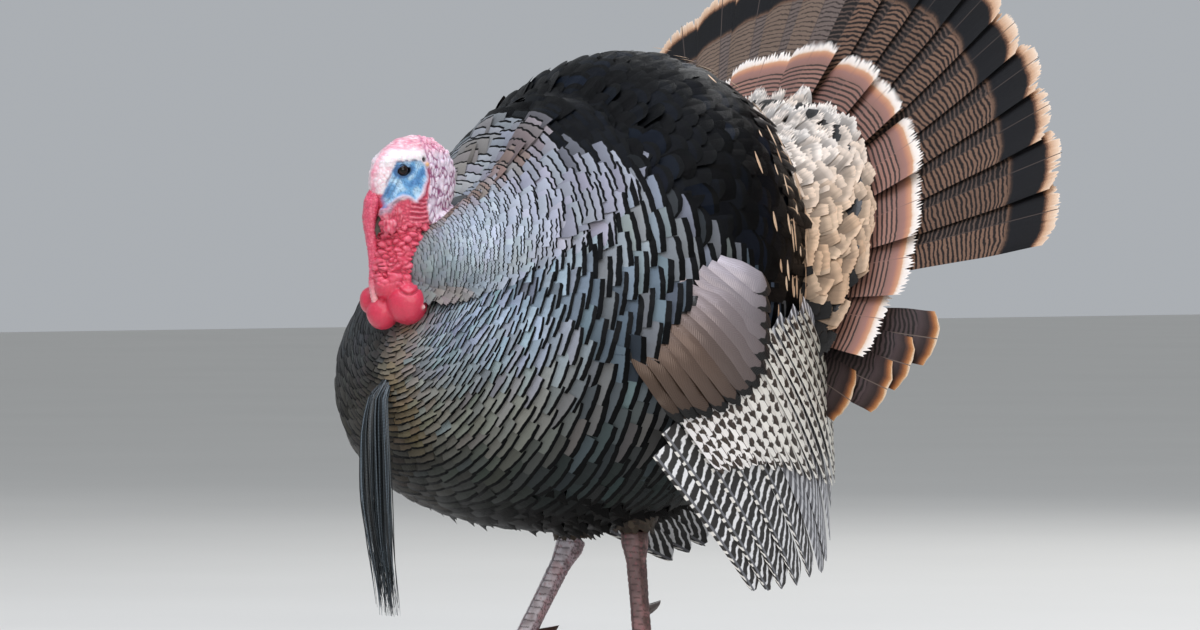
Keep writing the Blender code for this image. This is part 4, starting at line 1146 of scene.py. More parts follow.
def rumpPoint(radius, angle, lift):
    values = rumpPlumage
    share = angle / rumpPlumage["edge"]
    reach = values["reach"][0] + (values["reach"][1] - values["reach"][0]) * np.clip(share, -1, 1) ** 2
    out = np.clip((radius - values["rootRadius"]) / (reach - values["rootRadius"]), 0, 1)
    front = values["frontTip"] + (values["frontRoot"] - values["frontTip"]) * (1 - out) ** values["power"]
    return tailPoint(radius, angle, front + lift)


def makeRumpPlumage(material):
    values = rumpPlumage
    found = []
    radius = values["firstRadius"]
    rowNumber = 0
    while radius < values["lastRadius"]:
        arc = 2 * values["spread"] * radius
        count = int(arc / values["width"])
        at = staggered(count, rowNumber, 0.35) / count
        found.append(np.stack([radius + chance.normal(0, 0.0018, count), (2 * at - 1) * values["spread"]], axis=1))
        radius += values["rowStep"]
        rowNumber += 1
    radius, angle = np.concatenate(found).T
    share = np.abs(angle) / rumpPlumage["edge"]
    edge = values["reach"][0] + (values["reach"][1] - values["reach"][0]) * np.clip(share, 0, 1) ** 2 + 0.006
    keep = radius < edge
    radius, angle, share = radius[keep], angle[keep], share[keep]
    count = len(radius)
    length = values["length"] * chance.uniform(0.85, 1.15, count)
    rowPlaces = np.array([0.0, 0.3, 0.6, 0.8, 0.92, 1.0])
    out = radius[:, None] + (rowPlaces - 1) * length[:, None]
    bend = chance.normal(0, 0.06, count)[:, None] * (rowPlaces - 0.5)
    lift = 0.003 - 0.0058 * (1 - rowPlaces) + chance.uniform(0, 0.0008, count)[:, None]
    path = rumpPoint(np.maximum(out, 0.082), angle[:, None] + bend, lift)
    ahead = rumpPoint(np.maximum(out, 0.082) + 0.002, angle[:, None] + bend, lift) - path
    quill, forward = tailFrame(angle[:, None] + bend)
    up = unit(np.cross(np.cross(quill, forward), ahead))
    wide = values["width"] * chance.uniform(0.6, 1.25, count) * (1 - 0.3 * ramp(share, 0.3, 0.05))
    half = wide[:, None] * 0.6 * outline(rowPlaces, 0.6, 0.4, 0.93)
    tint = painted(
        values["cream"],
        (values["pale"], ramp(share, 0.62, 0.22) * chance.uniform(0.55, 1, count)),
        (values["tan"], ramp(share, 0.4, 0.9) * chance.uniform(0.0, 0.7, count)),
    )
    isDark = chance.random(count) < ramp(share, 0.72, 1.0) * 0.75 + ramp(radius, 0.15, 0.112) * 1.1
    tint[isDark] = linearColour(values["dark"])
    tint = tint * (1 + chance.normal(0, 0.07, count)[:, None])
    columns = values["columns"]
    # painted shade: each strip starts dark where it comes out from under the row above, so a dark gap shows between
    # rows
    tint = tint[:, None, None, :] * np.array([0.25, 0.28, 0.34, 0.55, 0.98, 1.08])[:, None, None]
    tint = tint * chance.uniform(0.86, 1.1, (count, 1, columns, 1))
    corner = stacked((angle / (2 * math.pi) + 0.5) * 0.985, (radius - 0.1) / 0.15 * 0.97)
    makeVanes("rumpFeathers", material, "rump_plumage", ["rump"], path, up, half, rowPlaces, columns, {
        "tint": tint, "band": np.where(isDark, 0.0, -2.0),
        "tip": raggedTip(count, columns, wide * 0.08, 4.0, 0.0004), "camber": 0.03,
        "tilt": chance.normal(0, 0.035, count),
        "fray": frayedTip(count, columns, 0.0018, 0.0006) * (0.5 + 2.6 * ramp(share, 0.45, 0.1))[:, None],
        "frayFrom": 0.8, "thickness": 0.0006, "bakeCorner": corner,
    })
    print("rump plumage:", count, "feathers")


makeRumpPlumage(softFeather)

undertail = {
    "count": 44, "spread": math.radians(140), "short": 0.158, "extra": 0.15, "longest": math.radians(95),
    "fallOff": (math.radians(8), math.radians(18)), "halfWidth": 0.029,
}


def makeUndertail():
    values = undertail
    material = barredMaterial("undertailKeratin", {
        "roughness": 0.6, "wander": 50.0, "pitch": 6.0, "stray": 9.0, "speckle": 1.2, "soft": 0.9,
        "slant": (0.1, 0.1), "level": (0.6, 0.6),
        "dark": ("#1b1614", "#1b1614"), "pale": ("#4d3f3f", "#554647"),
        "bands": [(0.0, "#ecdfcf"), (3.5, "#e0c4a4"), (5.5, "#c08654"), (9.0, "#93592f"), (12.0, "#5e3a28"),
                  (16.0, "#2a1d1b"), (26.0, "#453737"), (30.0, "#3e3133")],
        "bandStray": 3.0, "bandBend": 0.1, "shaft": 0.6, "shaftColour": "#6b5d55",
    })
    count = values["count"]
    share = fanShares(count)
    angle = share * values["spread"]
    past = np.abs(angle) - values["longest"]
    fall = np.where(past > 0, values["fallOff"][1], values["fallOff"][0])
    uneven = np.array([1.0, 0.8, 0.92])[np.arange(count) % 3]
    far = values["short"] + values["extra"] * hill(past, fall) * uneven
    rowPlaces = np.linspace(0, 1, 14) ** 0.8
    radius = tailShape["inner"] + (far[:, None] - tailShape["inner"]) * rowPlaces
    lift = -0.0085 - 0.004 * (1 - rowPlaces) + 0.004 * (np.abs(share)[:, None] - 0.5)
    path, up = tailPoint(radius, angle[:, None], lift), tailFrame(angle[:, None])[1]
    half = values["halfWidth"] * (0.4 + 0.6 * rowPlaces) * np.ones((count, 1)) * outline(rowPlaces, 0.5, 0.3, 0.9)
    makeVanes("undertailFeathers", material, "tail_plumage", ["undertail_coverts"], path, up, half, rowPlaces, 11, {
        "band": chance.uniform(0, 5, count),
        "tip": raggedTip(count, 11, 0.012, 2.2, 0.0008), "camber": 0.1, "tilt": -0.12,
        "thickness": 0.0008, "outerSide": np.sign(share), "bakeSize": (0.03, 0.14),
    })
    print("undertail made")


makeUndertail()


# wings

def wingNormal(side, angle):
    # angle in degrees from the bird's side towards its rear
    a = np.radians(angle)
    out = unit(stacked(np.cos(a) / wingShape["halfWidth"], np.sin(a) / wingShape["halfDepth"], 0 * a))
    return out * np.array([side, 1, 1])


def wingPoint(side, angle, height, lift):
    a, lean = np.radians(angle), 1 - wingShape["lean"] * np.maximum(0.0, height - wingShape["tipHeight"])
    out = wingNormal(1, angle)
    x = wingShape["halfWidth"] * lean * np.cos(a) + out[..., 0] * lift
    y = wingShape["middleY"] + wingShape["halfDepth"] * lean * np.sin(a) + out[..., 1] * lift
    return stacked(side * x, y, height + 0 * a)


def roundWing(p):
    # length round the wing's wrap, so that bars run on from quill to quill
    return 0.226 * wingAngle(p) + 0.1 * (p[..., 2] - 0.25) ** 2 / 0.15


quillRows = np.concatenate([np.linspace(0, 0.9, 22), [0.93, 0.96, 0.985, 1.0]])
latticeRows = np.concatenate([np.linspace(0, 0.9, 14), [0.95, 1.0]])
flightQuills = {
    # a narrow dashed web ahead of the shaft, a wide barred one behind it, each over the one before
    "primaries": {
        "count": 6, "share": (0.02, 0.62), "stop": [(0.0, 1.0), (1.0, 1.0)], "uneven": 0.012, "halfWidth": 0.004,
        "lift": (-0.0014, 0.0006), "rows": quillRows, "columns": 13, "outline": (0.7, 0.2, 0.97), "seed": 7.0,
        "tip": (0.011, 2.2, 0.0008),
        "look": {"innerShare": 5.6, "camber": 0.22, "tilt": 0.16, "thickness": 0.001, "bakeSize": (0.024, 0.28)},
    },
    # closer together, greyer, their bars running on from one to the next
    "secondaries": {
        "count": 6, "share": (0.63, 0.37), "stop": [(0.0, 0.985), (1.0, 0.985)], "uneven": 0.008, "halfWidth": 0.01,
        "lift": (0.0022, 0.00025), "rows": quillRows, "columns": 13, "outline": (0.7, 0.2, 0.98), "seed": 1.6,
        "tip": (0.009, 2.4, 0.0006),
        "look": {"innerShare": 2.6, "camber": 0.18, "tilt": 0.16, "thickness": 0.001, "bakeSize": (0.024, 0.28),
                 "bars": roundWing},
    },
    # inner quills and greater coverts: a lattice of cream and brown
    "innerQuills": {
        "count": 20, "share": (0.28, 0.72), "uneven": 0.014, "halfWidth": 0.0056, "lift": (0.005, 0.00018),
        "stop": [(0.28, 0.34), (0.45, 0.4), (0.6, 0.5), (0.72, 0.62), (0.85, 0.84), (1.0, 1.0)],
        "rows": latticeRows, "columns": 9, "outline": (0.6, 0.2, 0.7), "seed": 3.0, "tip": (0.005, 2.0, 0.0006),
        "look": {"innerShare": 1.5, "camber": 0.3, "tilt": 0.2, "thickness": 0.0008, "bakeSize": (0.02, 0.2)},
    },
}


def makeWing(side, suffix, quills, materials):
    # feathers along straight lines over the wing's cylinder
    for name, values in flightQuills.items():
        count, rowPlaces = values["count"], values["rows"]
        n = np.arange(count)
        share = values["share"][0] + values["share"][1] * n / (count - 1)
        uneven = chance.normal(0, values["uneven"], count)
        stop = lookUp(values["stop"], share)
        stop = stop * (1 + uneven) if name == "innerQuills" else stop + uneven
        rootAngle, rootHeight, tipAngle, tipHeight = throughTable(quills, share).T[:, :, None]
        reach = stop[:, None] * rowPlaces
        angle = rootAngle + (tipAngle - rootAngle) * reach
        height = rootHeight + (tipHeight - rootHeight) * reach
        lift = values["lift"][0] + values["lift"][1] * n
        path = wingPoint(side, angle, height, np.broadcast_to(lift[:, None], angle.shape))
        half = np.full((count, 1), values["halfWidth"]) * outline(rowPlaces, *values["outline"])
        along = np.linspace(0, 1, count)[:, None]
        if name == "primaries":
            tint, start, node = 1.0, 0.0, [f"wing_quills_{suffix.lower()}"]
        elif name == "secondaries":
            tint, start, node = np.linspace(0.85, 1.15, count)[:, None], 0.0, []
        else:
            # browner and darker towards the body, dark spots in turn from quill to quill
            tint = (1 - 0.35 * along ** 2) * chance.uniform(0.9, 1.1, (count, 1)) * np.ones(3)
            tint[:, 2] *= 1 - 0.12 * along[:, 0]
            start, node = (n % 2) * 6.5, []
        makeVanes(f"{name}{suffix}", materials[name], "wing_plumage", node, path, wingNormal(side, angle), half,
                  rowPlaces, values["columns"], {
            **values["look"], "outerSide": float(side), "tint": tint,
            "band": start + chance.uniform(0, values["seed"], count),
            "tip": raggedTip(count, values["columns"], *values["tip"]),
        })
    makeWingCoverts(side, suffix, materials)


def makeWingCoverts(side, suffix, materials):
    # the glossy patch: long coverts that fan from the wrist, with black tips along its rear edge
    count = 13
    n = np.arange(count)
    s = n / (count - 1)
    tips = throughTable(covertTips, s)
    tipAngle, tipHeight = tips[:, 0], tips[:, 1]
    # the roots lie under the body's feathers
    rootAngle = -25 + 25 * s
    rootHeight = 0.327 + 0.084 * s
    rootAngle, rootHeight = rootAngle - 0.3 * (tipAngle - rootAngle), rootHeight - 0.3 * (tipHeight - rootHeight)
    rowPlaces = np.concatenate([np.linspace(0, 0.85, 10), [0.92, 0.97, 1.0]])
    angle = rootAngle[:, None] + (tipAngle - rootAngle)[:, None] * rowPlaces
    height = rootHeight[:, None] + (tipHeight - rootHeight)[:, None] * rowPlaces
    lift = np.interp(rowPlaces, [0, 0.2, 0.4, 0.7, 1], [-0.008, 0.0, 0.008, 0.014, 0.0105]) + 0.0003 * n[:, None]
    path = wingPoint(side, angle, height, lift)
    # they come out from under the body's feathers and then lie on them
    phi, tau, stand = trunkCoordinates(path)
    clear = np.interp(rowPlaces, [0, 0.2, 0.34, 1.0], [-0.006, -0.002, 0.0035, 0.0045])
    path = np.where((stand < clear)[..., None], onTrunk(phi, tau, np.broadcast_to(clear, phi.shape)), path)
    up = wingNormal(side, angle)
    half = 0.0112 * outline(rowPlaces, 0.6, 0.3, 0.96) * np.ones((count, 1))
    tint = blendColours([(0.0, "#46362b"), (0.35, "#5c4b42"), (0.7, "#82787a"), (1.0, "#938c92")], s)
    tint = tint[:, None, None, :] * np.linspace(1.35, 0.62, len(rowPlaces))[:, None, None]
    tint = tint * chance.uniform(0.88, 1.12, (count, 1, 1, 1))
    makeVanes(f"wingCoverts{suffix}", materials["bronze"], "wing_plumage", [f"wing_{suffix.lower()}"], path, up, half,
              rowPlaces, 9, {
        "tint": tint, "band": chance.uniform(8, 12, count), "tip": raggedTip(count, 9, 0.012, 1.7, 0.0014),
        "camber": 0.2, "tilt": 0.15, "thickness": 0.0008, "outerSide": float(side), "bakeSize": (0.03, 0.2),
    })


wingMaterials = {
    "primaries": barredMaterial("primaryQuillKeratin", {
        "roughness": 0.42, "wander": 110.0, "pitch": 11.5, "stray": 9.0, "speckle": 0.45, "soft": 0.26,
        "slant": (0.55, -0.4), "level": (0.74, 0.5),
        "dark": ("#1f1c1b", "#1a1716"), "pale": ("#e2e2e4", "#e6e2dc"),
        "shaft": 1.5, "shaftColour": "#66676c",
    }),
    "secondaries": barredMaterial("secondaryQuillKeratin", {
        "roughness": 0.4, "wander": 60.0, "pitch": 8.6, "stray": 4.0, "speckle": 0.3, "soft": 0.3, "along": "bars",
        "slant": (0.0, 0.0), "level": (0.42, 0.42),
        "dark": ("#5a5a60", "#606066"), "pale": ("#d4d5da", "#d2d3d8"),
        "shaft": 0.8, "shaftColour": "#84858b",
    }),
    "innerQuills": barredMaterial("latticeQuillKeratin", {
        "roughness": 0.5, "wander": 95.0, "pitch": 13.5, "stray": 20.0, "speckle": 1.0, "soft": 0.25, "diamond": 0.42,
        "slant": (0.5, -0.5), "level": (1.28, 1.28),
        "dark": ("#33261f", "#2e221b"), "pale": ("#e9e4e3", "#f0ecec"),
        "shaft": 0.4, "shaftColour": "#4d3f36",
    }),
    "bronze": featherMaterial("bronzeCovertKeratin", {
        "roughness": 0.34, "metallic": 0.3, "specular": 0.5, "band": "#0b0a0a", "barb": 2.4, "streak": 0.06,
        "bump": 0.22, "bandSoft": 0.8,
    }),
}
for side, suffix, quills in ((1, "Left", wingShape["leftQuills"]), (-1, "Right", wingShape["rightQuills"])):
    makeWing(side, suffix, quills, wingMaterials)
print("wings made")


# skin

def finishShape(piece, name):
    # a finished piece sits at the origin with its place in its mesh
    piece.data.transform(piece.matrix_world)
    piece.matrix_world.identity()
    piece.name = name
    piece.data.name = name
    return piece


def activate(piece):
    deselectAll()
    piece.select_set(True)
    bpy.context.view_layer.objects.active = piece


def copyOfNodes(names, grow):
    # copies of CAD nodes, grown along their normals by one amount or by one for each name
    made = []
    for name in names:
        piece = bpy.data.objects.new("copyOf_" + name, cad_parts[name].data.copy())
        bpy.context.scene.collection.objects.link(piece)
        activate(piece)
        bpy.ops.object.mode_set(mode="EDIT")
        bpy.ops.mesh.select_all(action="SELECT")
        bpy.ops.mesh.remove_doubles(threshold=0.00002)
        bpy.ops.mesh.normals_make_consistent(inside=False)
        bpy.ops.object.mode_set(mode="OBJECT")
        amount = grow[name] if isinstance(grow, dict) else grow
        co = np.zeros(len(piece.data.vertices) * 3)
        piece.data.vertices.foreach_get("co", co)
        piece.data.vertices.foreach_set("co", (co.reshape(-1, 3) + normalsOf(piece) * amount).ravel())
        made.append(piece)
    return made


def joinAndRemesh(pieces, voxel, name):
    activate(pieces[0])
    for piece in pieces:
        piece.select_set(True)
    if len(pieces) > 1:
        bpy.ops.object.join()
    piece = bpy.context.object
    remesh = piece.modifiers.new("remesh", "REMESH")
    remesh.mode = "VOXEL"
    remesh.voxel_size = voxel
    bpy.ops.object.modifier_apply(modifier="remesh")
    return finishShape(piece, name)


def addBall(place, radius):
    deselectAll()
    middle = Vector(place) + Vector(stance)
    bpy.ops.mesh.primitive_uv_sphere_add(segments=64, ring_count=40, radius=radius, location=middle)
    ball = bpy.context.object
    bpy.ops.object.transform_apply(location=True, rotation=True, scale=True)
    return ball


def pointsOf(piece):
    co = np.zeros(len(piece.data.vertices) * 3)
    piece.data.vertices.foreach_get("co", co)
    return co.reshape(-1, 3) - stance


def normalsOf(piece):
    return np.array([v.normal for v in piece.data.vertices])


def setPoints(piece, points):
    piece.data.vertices.foreach_set("co", (points + stance).ravel())
    piece.data.update()


def dress(piece, material, tint=None):
    if tint is not None:
        setTint(piece.data, tint)
    piece.data.materials.clear()
    piece.data.materials.append(material)
    piece.data.shade_smooth()


def cells(points, size, stretch=(1, 1, 1), domed=False):
    # for each point: 1 in the middle of a wart and 0 in the crease between warts
    scaled = points / (np.array(stretch) * size)
    near = np.array([noise.voronoi(Vector(p))[0][:2] for p in scaled])
    flat = np.clip((near[:, 1] - near[:, 0]) * 1.6, 0, 1)
    if not domed:
        return flat
    # rounded over the whole wart, with a narrow crease
    return np.clip(1.1 - (near[:, 0] / 0.85) ** 2, 0, 1) * ramp(flat, -0.05, 0.4)


def wrinkle(points, size, stretch=(1, 1, 1)):
    scaled = points / (np.array(stretch) * size)
    return np.array([noise.noise(Vector(p)) for p in scaled])


def insideOf(points2d, polygon, soft):
    # 1 inside a polygon, 0 outside, softly
    polygon = np.array(polygon)
    distance = lineDistance(points2d, np.concatenate([polygon, polygon[:1]]))
    inside = np.zeros(len(points2d), bool)
    for p, q in zip(polygon, np.roll(polygon, -1, axis=0)):
        crosses = (p[1] > points2d[:, 1]) != (q[1] > points2d[:, 1])
        with np.errstate(divide="ignore", invalid="ignore"):
            at = p[0] + (points2d[:, 1] - p[1]) / (q[1] - p[1]) * (q[0] - p[0])
        inside ^= crosses & (points2d[:, 0] < at)
    return ramp(np.where(inside, distance, -distance), -soft, soft)


face = {
    # places in the side view: (y, z)
    "eye": (-0.2545, 0.502), "ear": (-0.2335, 0.512), "earWart": (-0.23, 0.5075),
    "brow": [(-0.27, 0.511), (-0.26, 0.5135), (-0.245, 0.5145), (-0.2375, 0.515)],
    # the fold under the brow, where a painted shadow lies
    "fold": [(-0.264, 0.506), (-0.26, 0.5092), (-0.25, 0.5106), (-0.239, 0.5106)],
    "blue": [(-0.2795, 0.4615), (-0.2715, 0.485), (-0.2655, 0.501), (-0.2615, 0.509), (-0.238, 0.5105),
             (-0.2325, 0.506), (-0.231, 0.494), (-0.235, 0.483), (-0.241, 0.4745), (-0.248, 0.4775),
             (-0.256, 0.48)],
    "red": [(-0.3, 0.478), (-0.273, 0.48), (-0.269, 0.468), (-0.251, 0.4765), (-0.242, 0.472),
            (-0.234, 0.481), (-0.23, 0.495), (-0.227, 0.493), (-0.229, 0.47), (-0.227, 0.455),
            (-0.21, 0.44), (-0.2, 0.3), (-0.33, 0.3)],
    "wart": (0.0335, -0.245, 0.3745),
    "gape": [(-0.281, 0.458), (-0.27, 0.4655), (-0.259, 0.4735)],
    "lore": [[(-0.2595, 0.501), (-0.267, 0.488), (-0.2735, 0.474)],
             [(-0.258, 0.4965), (-0.264, 0.483), (-0.27, 0.472)],
             [(-0.26, 0.506), (-0.2685, 0.497), (-0.272, 0.488)]],
    "folds": [(-0.247, 0.473), (-0.229, 0.476), (-0.227, 0.453), (-0.247, 0.452)],
    "flap": [(-0.278, 0.465), (-0.26, 0.471), (-0.253, 0.46), (-0.258, 0.446), (-0.276, 0.446)],
    "ridge": [(-0.27, 0.4685), (-0.256, 0.4785), (-0.248, 0.4755), (-0.2405, 0.4725), (-0.2335, 0.48),
              (-0.23, 0.492), (-0.2305, 0.502)],
    "redCrease": [(-0.238, 0.47), (-0.2305, 0.479), (-0.2275, 0.492), (-0.2285, 0.504)],
    # the crease over the lobe: (to the right as seen from its front left, z)
    "lobeCrease": [(-0.194, 0.3975), (-0.1922, 0.3925), (-0.1886, 0.3888), (-0.184, 0.387), (-0.1792, 0.3874),
                   (-0.175, 0.39), (-0.1722, 0.3945)],
}


def shapeHead(piece):
    p = pointsOf(piece)
    normal = normalsOf(piece)
    # a soft wander keeps every border and cell from looking ruled
    wander = np.stack([wrinkle(p + shift, 0.007) for shift in (0.0, 0.3, 0.7)], axis=1)
    side = p[:, 1:] + 0.0012 * wander[:, :2]
    lateral = ramp(np.abs(p[:, 0]), 0.004, 0.011)
    blue = insideOf(side, face["blue"], 0.0016) * lateral
    red = insideOf(side, face["red"], 0.0016)
    browLine = lineDistance(side, face["brow"])
    brow = hill(browLine, 0.005) * lateral
    folds = insideOf(side, face["folds"], 0.0015) * lateral
    flap = insideOf(side, face["flap"], 0.0018) * lateral
    still = p[:, 1:]
    eyeDistance = np.linalg.norm(still - np.array(face["eye"]), axis=1)
    # the lids' opening is longer than high and drops a little towards the bill
    slide, rise = still[:, 0] - face["eye"][0], still[:, 1] - face["eye"][1] + 0.0003
    rise = rise - 0.12 * slide
    eyeWide = np.hypot(slide / 1.32, rise * np.where(rise > 0, 1.24, 1.0))
    earDistance = np.linalg.norm(still - np.array(face["ear"]), axis=1)
    wartDistance = np.linalg.norm(still - np.array(face["earWart"]), axis=1)
    isHead = ramp(p[:, 2], 0.44, 0.452)
    isThroat = ramp(p[:, 2], 0.458, 0.446) * ramp(p[:, 2] + 0.004 * wander[:, 0], 0.391, 0.405)
    isLobe = ramp(p[:, 2], 0.398, 0.388)
    forehead = ramp(p[:, 1], -0.248, -0.26) * (1 - blue) * (1 - red) * ramp(p[:, 2], 0.524, 0.514) * isHead
    crown = ramp(p[:, 2], 0.517, 0.525) * isHead
    nape = ramp(p[:, 1], -0.235, -0.228) * isHead * (1 - red)

    q = p + 0.0016 * wander
    puffs = cells(q, 0.0046, (1.0, 1.0, 0.8))
    fineCells = cells(q, 0.0044, (1, 1.0, 1.5))
    ropes = cells(q, 0.0052, (1.0, 0.8, 1.8))
    lumps = cells(q, 0.009, (1.3, 1.3, 0.78), True)
    nodules = cells(q + 0.4, 0.0066, (1.35, 1.35, 0.75), True)
    big = ramp(wrinkle(p, 0.02), -0.25, 0.25) * ramp(p[:, 2], 0.435, 0.415)
    nodules = nodules * (1 - big) + lumps * big
    small = cells(q, 0.0034, (1.3, 1.3, 0.9))
    crackle = cells(q, 0.003)
    lines = wrinkle(p, 0.002, (2.0, 2.0, 0.6))
    pleats = wrinkle(p, 0.0024, (0.7, 0.7, 3.0))
    foldWave = np.sin(p[:, 2] / 0.0044 * 2 * math.pi + 2.5 * wrinkle(p, 0.01) + 40 * (p[:, 1] + 0.24))

    push = 0.001 * (puffs**0.6 - 0.5) * np.maximum(forehead, 0.8 * brow)
    push += (0.0005 * (fineCells - 0.5) + 0.0004 * lines) * crown
    push += 0.0018 * (ropes**0.7 - 0.5) * nape
    push += 0.0026 * brow * (1 - hill(eyeDistance, 0.0055))
    push += -0.001 * blue
    push += (0.0005 * (crackle - 0.5) + 0.0006 * wrinkle(p, 0.005)) * blue
    push += 0.005 * (nodules**0.7 - 0.5) * isThroat + 0.0004 * (small - 0.5) * isThroat
    push += 0.0011 * foldWave * folds
    push += 0.0009 * (small - 0.5) * red * isHead * (1 - folds)
    push += (0.0014 + 0.0008 * pleats) * flap
    # the throat swells towards the snood
    push += 0.003 * ramp(p[:, 1], -0.255, -0.268) * isThroat
    # lobes: swollen and smooth, creased where they meet
    push += (0.0012 * wrinkle(p, 0.016) + 0.0002 * (puffs - 0.5)) * isLobe
    turn = math.radians(cameraPlace["azimuth"])
    aside = p[:, 0] * math.cos(turn) + p[:, 1] * math.sin(turn)
    crease = lineDistance(stacked(aside, p[:, 2]), face["lobeCrease"])
    creased = hill(crease, 0.0012) * ramp(normal @ cameraWay, 0.1, 0.4) * isLobe
    push += -0.0024 * creased
    # lids ring the eye and the skin dips under them
    lid = hill(eyeWide - 0.0052, 0.0011) * lateral
    push += 0.0016 * lid - 0.005 * ramp(eyeWide, 0.0045, 0.0035) * lateral
    push += 0.0024 * hill(eyeWide - 0.0052, 0.0013) * ramp(rise, 0.0012, 0.0032) * lateral
    push += 0.0009 * hill(eyeWide - 0.008, 0.0007) * blue - 0.0006 * hill(eyeWide - 0.0067, 0.0005) * blue
    push += -0.0034 * ramp(earDistance, 0.0026, 0.0013) * lateral
    push += 0.0023 * hill(wartDistance, 0.002) * lateral
    lore = np.min([lineDistance(side, line) for line in face["lore"]], axis=0)
    push += -0.0007 * hill(lore, 0.0008) * lateral
    ridge = lineDistance(side, face["ridge"])
    push += 0.0012 * hill(ridge, 0.0013) * lateral
    wart = hill(np.linalg.norm(p - np.array(face["wart"]), axis=1), 0.002)
    push += 0.0018 * wart
    setPoints(piece, p + normal * push[:, None])

    blotch = wrinkle(p, 0.009)
    onBrow = ramp(browLine + 0.0045 * blotch + 0.0015 * wander[:, 2], 0.0092, 0.0012) * lateral * (1 - blue)
    gape = hill(lineDistance(side, face["gape"]), 0.002) * lateral
    behindBlue = hill(lineDistance(side, face["redCrease"]), 0.0011) * lateral
    # painted shadow under the brow's fold
    fold = hill(lineDistance(side, face["fold"]), 0.0009) * lateral
    return painted(
        "#ece0e4",
        ("#e3a6b4", forehead * ramp(puffs, 0.45, 0.1) * (0.42 + 0.6 * blotch)),
        ("#c76a80", forehead * ramp(puffs, 0.12, 0.02) * 0.25),
        # a pink line down the middle of the forehead
        ("#e493a6", forehead * hill(p[:, 0] - 0.0015, 0.0034) * (0.65 + 0.5 * blotch)),
        ("#db8097", crown * (0.72 + 0.6 * blotch)),
        ("#c0607a", crown * ramp(lines, 0.05, 0.4) * 0.5),
        ("#faf3f4", crown * ramp(-lines, 0.15, 0.4) * 0.5),
        ("#e6d6e6", nape * 0.85),
        ("#8a4873", nape * ramp(ropes, 0.36, 0.06) * ramp(blotch, -0.6, 0.0)),
        ("#da6f88", nape * ramp(p[:, 2], 0.512, 0.528) * 0.55),
        ("#f5f2f5", onBrow),
        ("#dfa3b4", onBrow * ramp(puffs, 0.42, 0.1) * 0.22),
        ("#c98aa3", onBrow * ramp(lines, 0.08, 0.36) * 0.2),
        ("#da4a64", red),
        ("#ee7389", red * ramp(nodules, 0.55, 0.98) * 0.6 * isThroat),
        ("#9c1c38", red * ramp(nodules, 0.26, 0.02) * isThroat * 0.75),
        ("#f08fa0", red * isHead * ramp(small, 0.5, 0.9) * 0.5),
        ("#a82a44", red * isHead * ramp(small, 0.25, 0.05) * 0.7),
        # painted shade in the folds' troughs and painted highlight on their crests
        ("#9c2741", folds * ramp(foldWave, -0.5, -0.95) * 0.8),
        ("#f5a4b0", folds * ramp(foldWave, 0.4, 0.95) * 0.6),
        ("#efa6b2", flap * ramp(pleats, -0.05, 0.35) * 0.45),
        ("#b8405a", flap * ramp(pleats, -0.12, -0.4) * 0.35),
        ("#cf3450", isLobe * (1 - 0.2 * blotch)),
        # painted shade in the crease where the lobes meet, only on the side that faces the camera
        ("#8f1530", creased * 0.7),
        ("#f6dcd8", wart),
        ("#6fabdc", blue),
        ("#bfe0f5", blue * ramp(blotch, 0.0, 0.35) * 0.85),
        ("#3f74ad", blue * ramp(blotch, -0.05, -0.35) * 0.7),
        ("#2f5a8c", blue * ramp(crackle, 0.16, 0.03) * 0.6),
        ("#47607f", hill(lore, 0.0009) * lateral * 0.55),
        ("#c3a5b8", hill(ridge, 0.001) * lateral * 0.75),
        # greyish lilac skin along the gape
        ("#a68f9f", gape * 0.85),
        ("#5f5866", gape * ramp(lines, 0.05, 0.3) * 0.6),
        ("#a32f4a", behindBlue * 0.8),
        # painted shadow along the fold under the brow
        ("#2b4668", fold * ramp(lines, -0.3, 0.1) * 0.8),
        # the lids' blue, darkened to near black at their rims round the eye: partly their own dark rims, partly
        # painted shade
        ("#2d5587", hill(eyeWide - 0.0062, 0.0014) * lateral * 0.7),
        ("#14202f", ramp(eyeWide, 0.0057, 0.0049) * lateral * 0.95),
        ("#1c1416", ramp(earDistance, 0.0029, 0.0017) * lateral),
        ("#e0b184", ramp(wartDistance, 0.0027, 0.0017) * lateral),
    )


def shapeSnood(piece):
    p = pointsOf(piece)
    normal = normalsOf(piece)
    # it hangs against the bill and throat, broad at its root
    share = ramp(p[:, 2], 0.48, 0.455)
    lean = np.interp(p[:, 2], [0.378, 0.4, 0.43, 0.46, 0.49], [0.0105, 0.0085, 0.006, 0.0018, 0.0])
    rings = np.sin(p[:, 2] / 0.0028 * 2 * math.pi + 3.0 * wrinkle(p, 0.006))
    dots = cells(p + 0.0008 * wrinkle(p, 0.004)[:, None], 0.0024)
    swell = 0.0011 * share + 0.0006 * wrinkle(p, 0.01) + 0.00022 * rings + 0.0005 * (dots - 0.5)
    moved = p + normal * swell[:, None]
    moved[:, 1] += lean
    setPoints(piece, moved)
    return painted(
        "#e25a76",
        ("#f29bab", ramp(dots, 0.45, 0.9) * 0.45),
        ("#b93350", ramp(dots, 0.2, 0.05) * 0.6),
        ("#edc0bf", ramp(p[:, 2], 0.405, 0.382) * 0.6),
    )


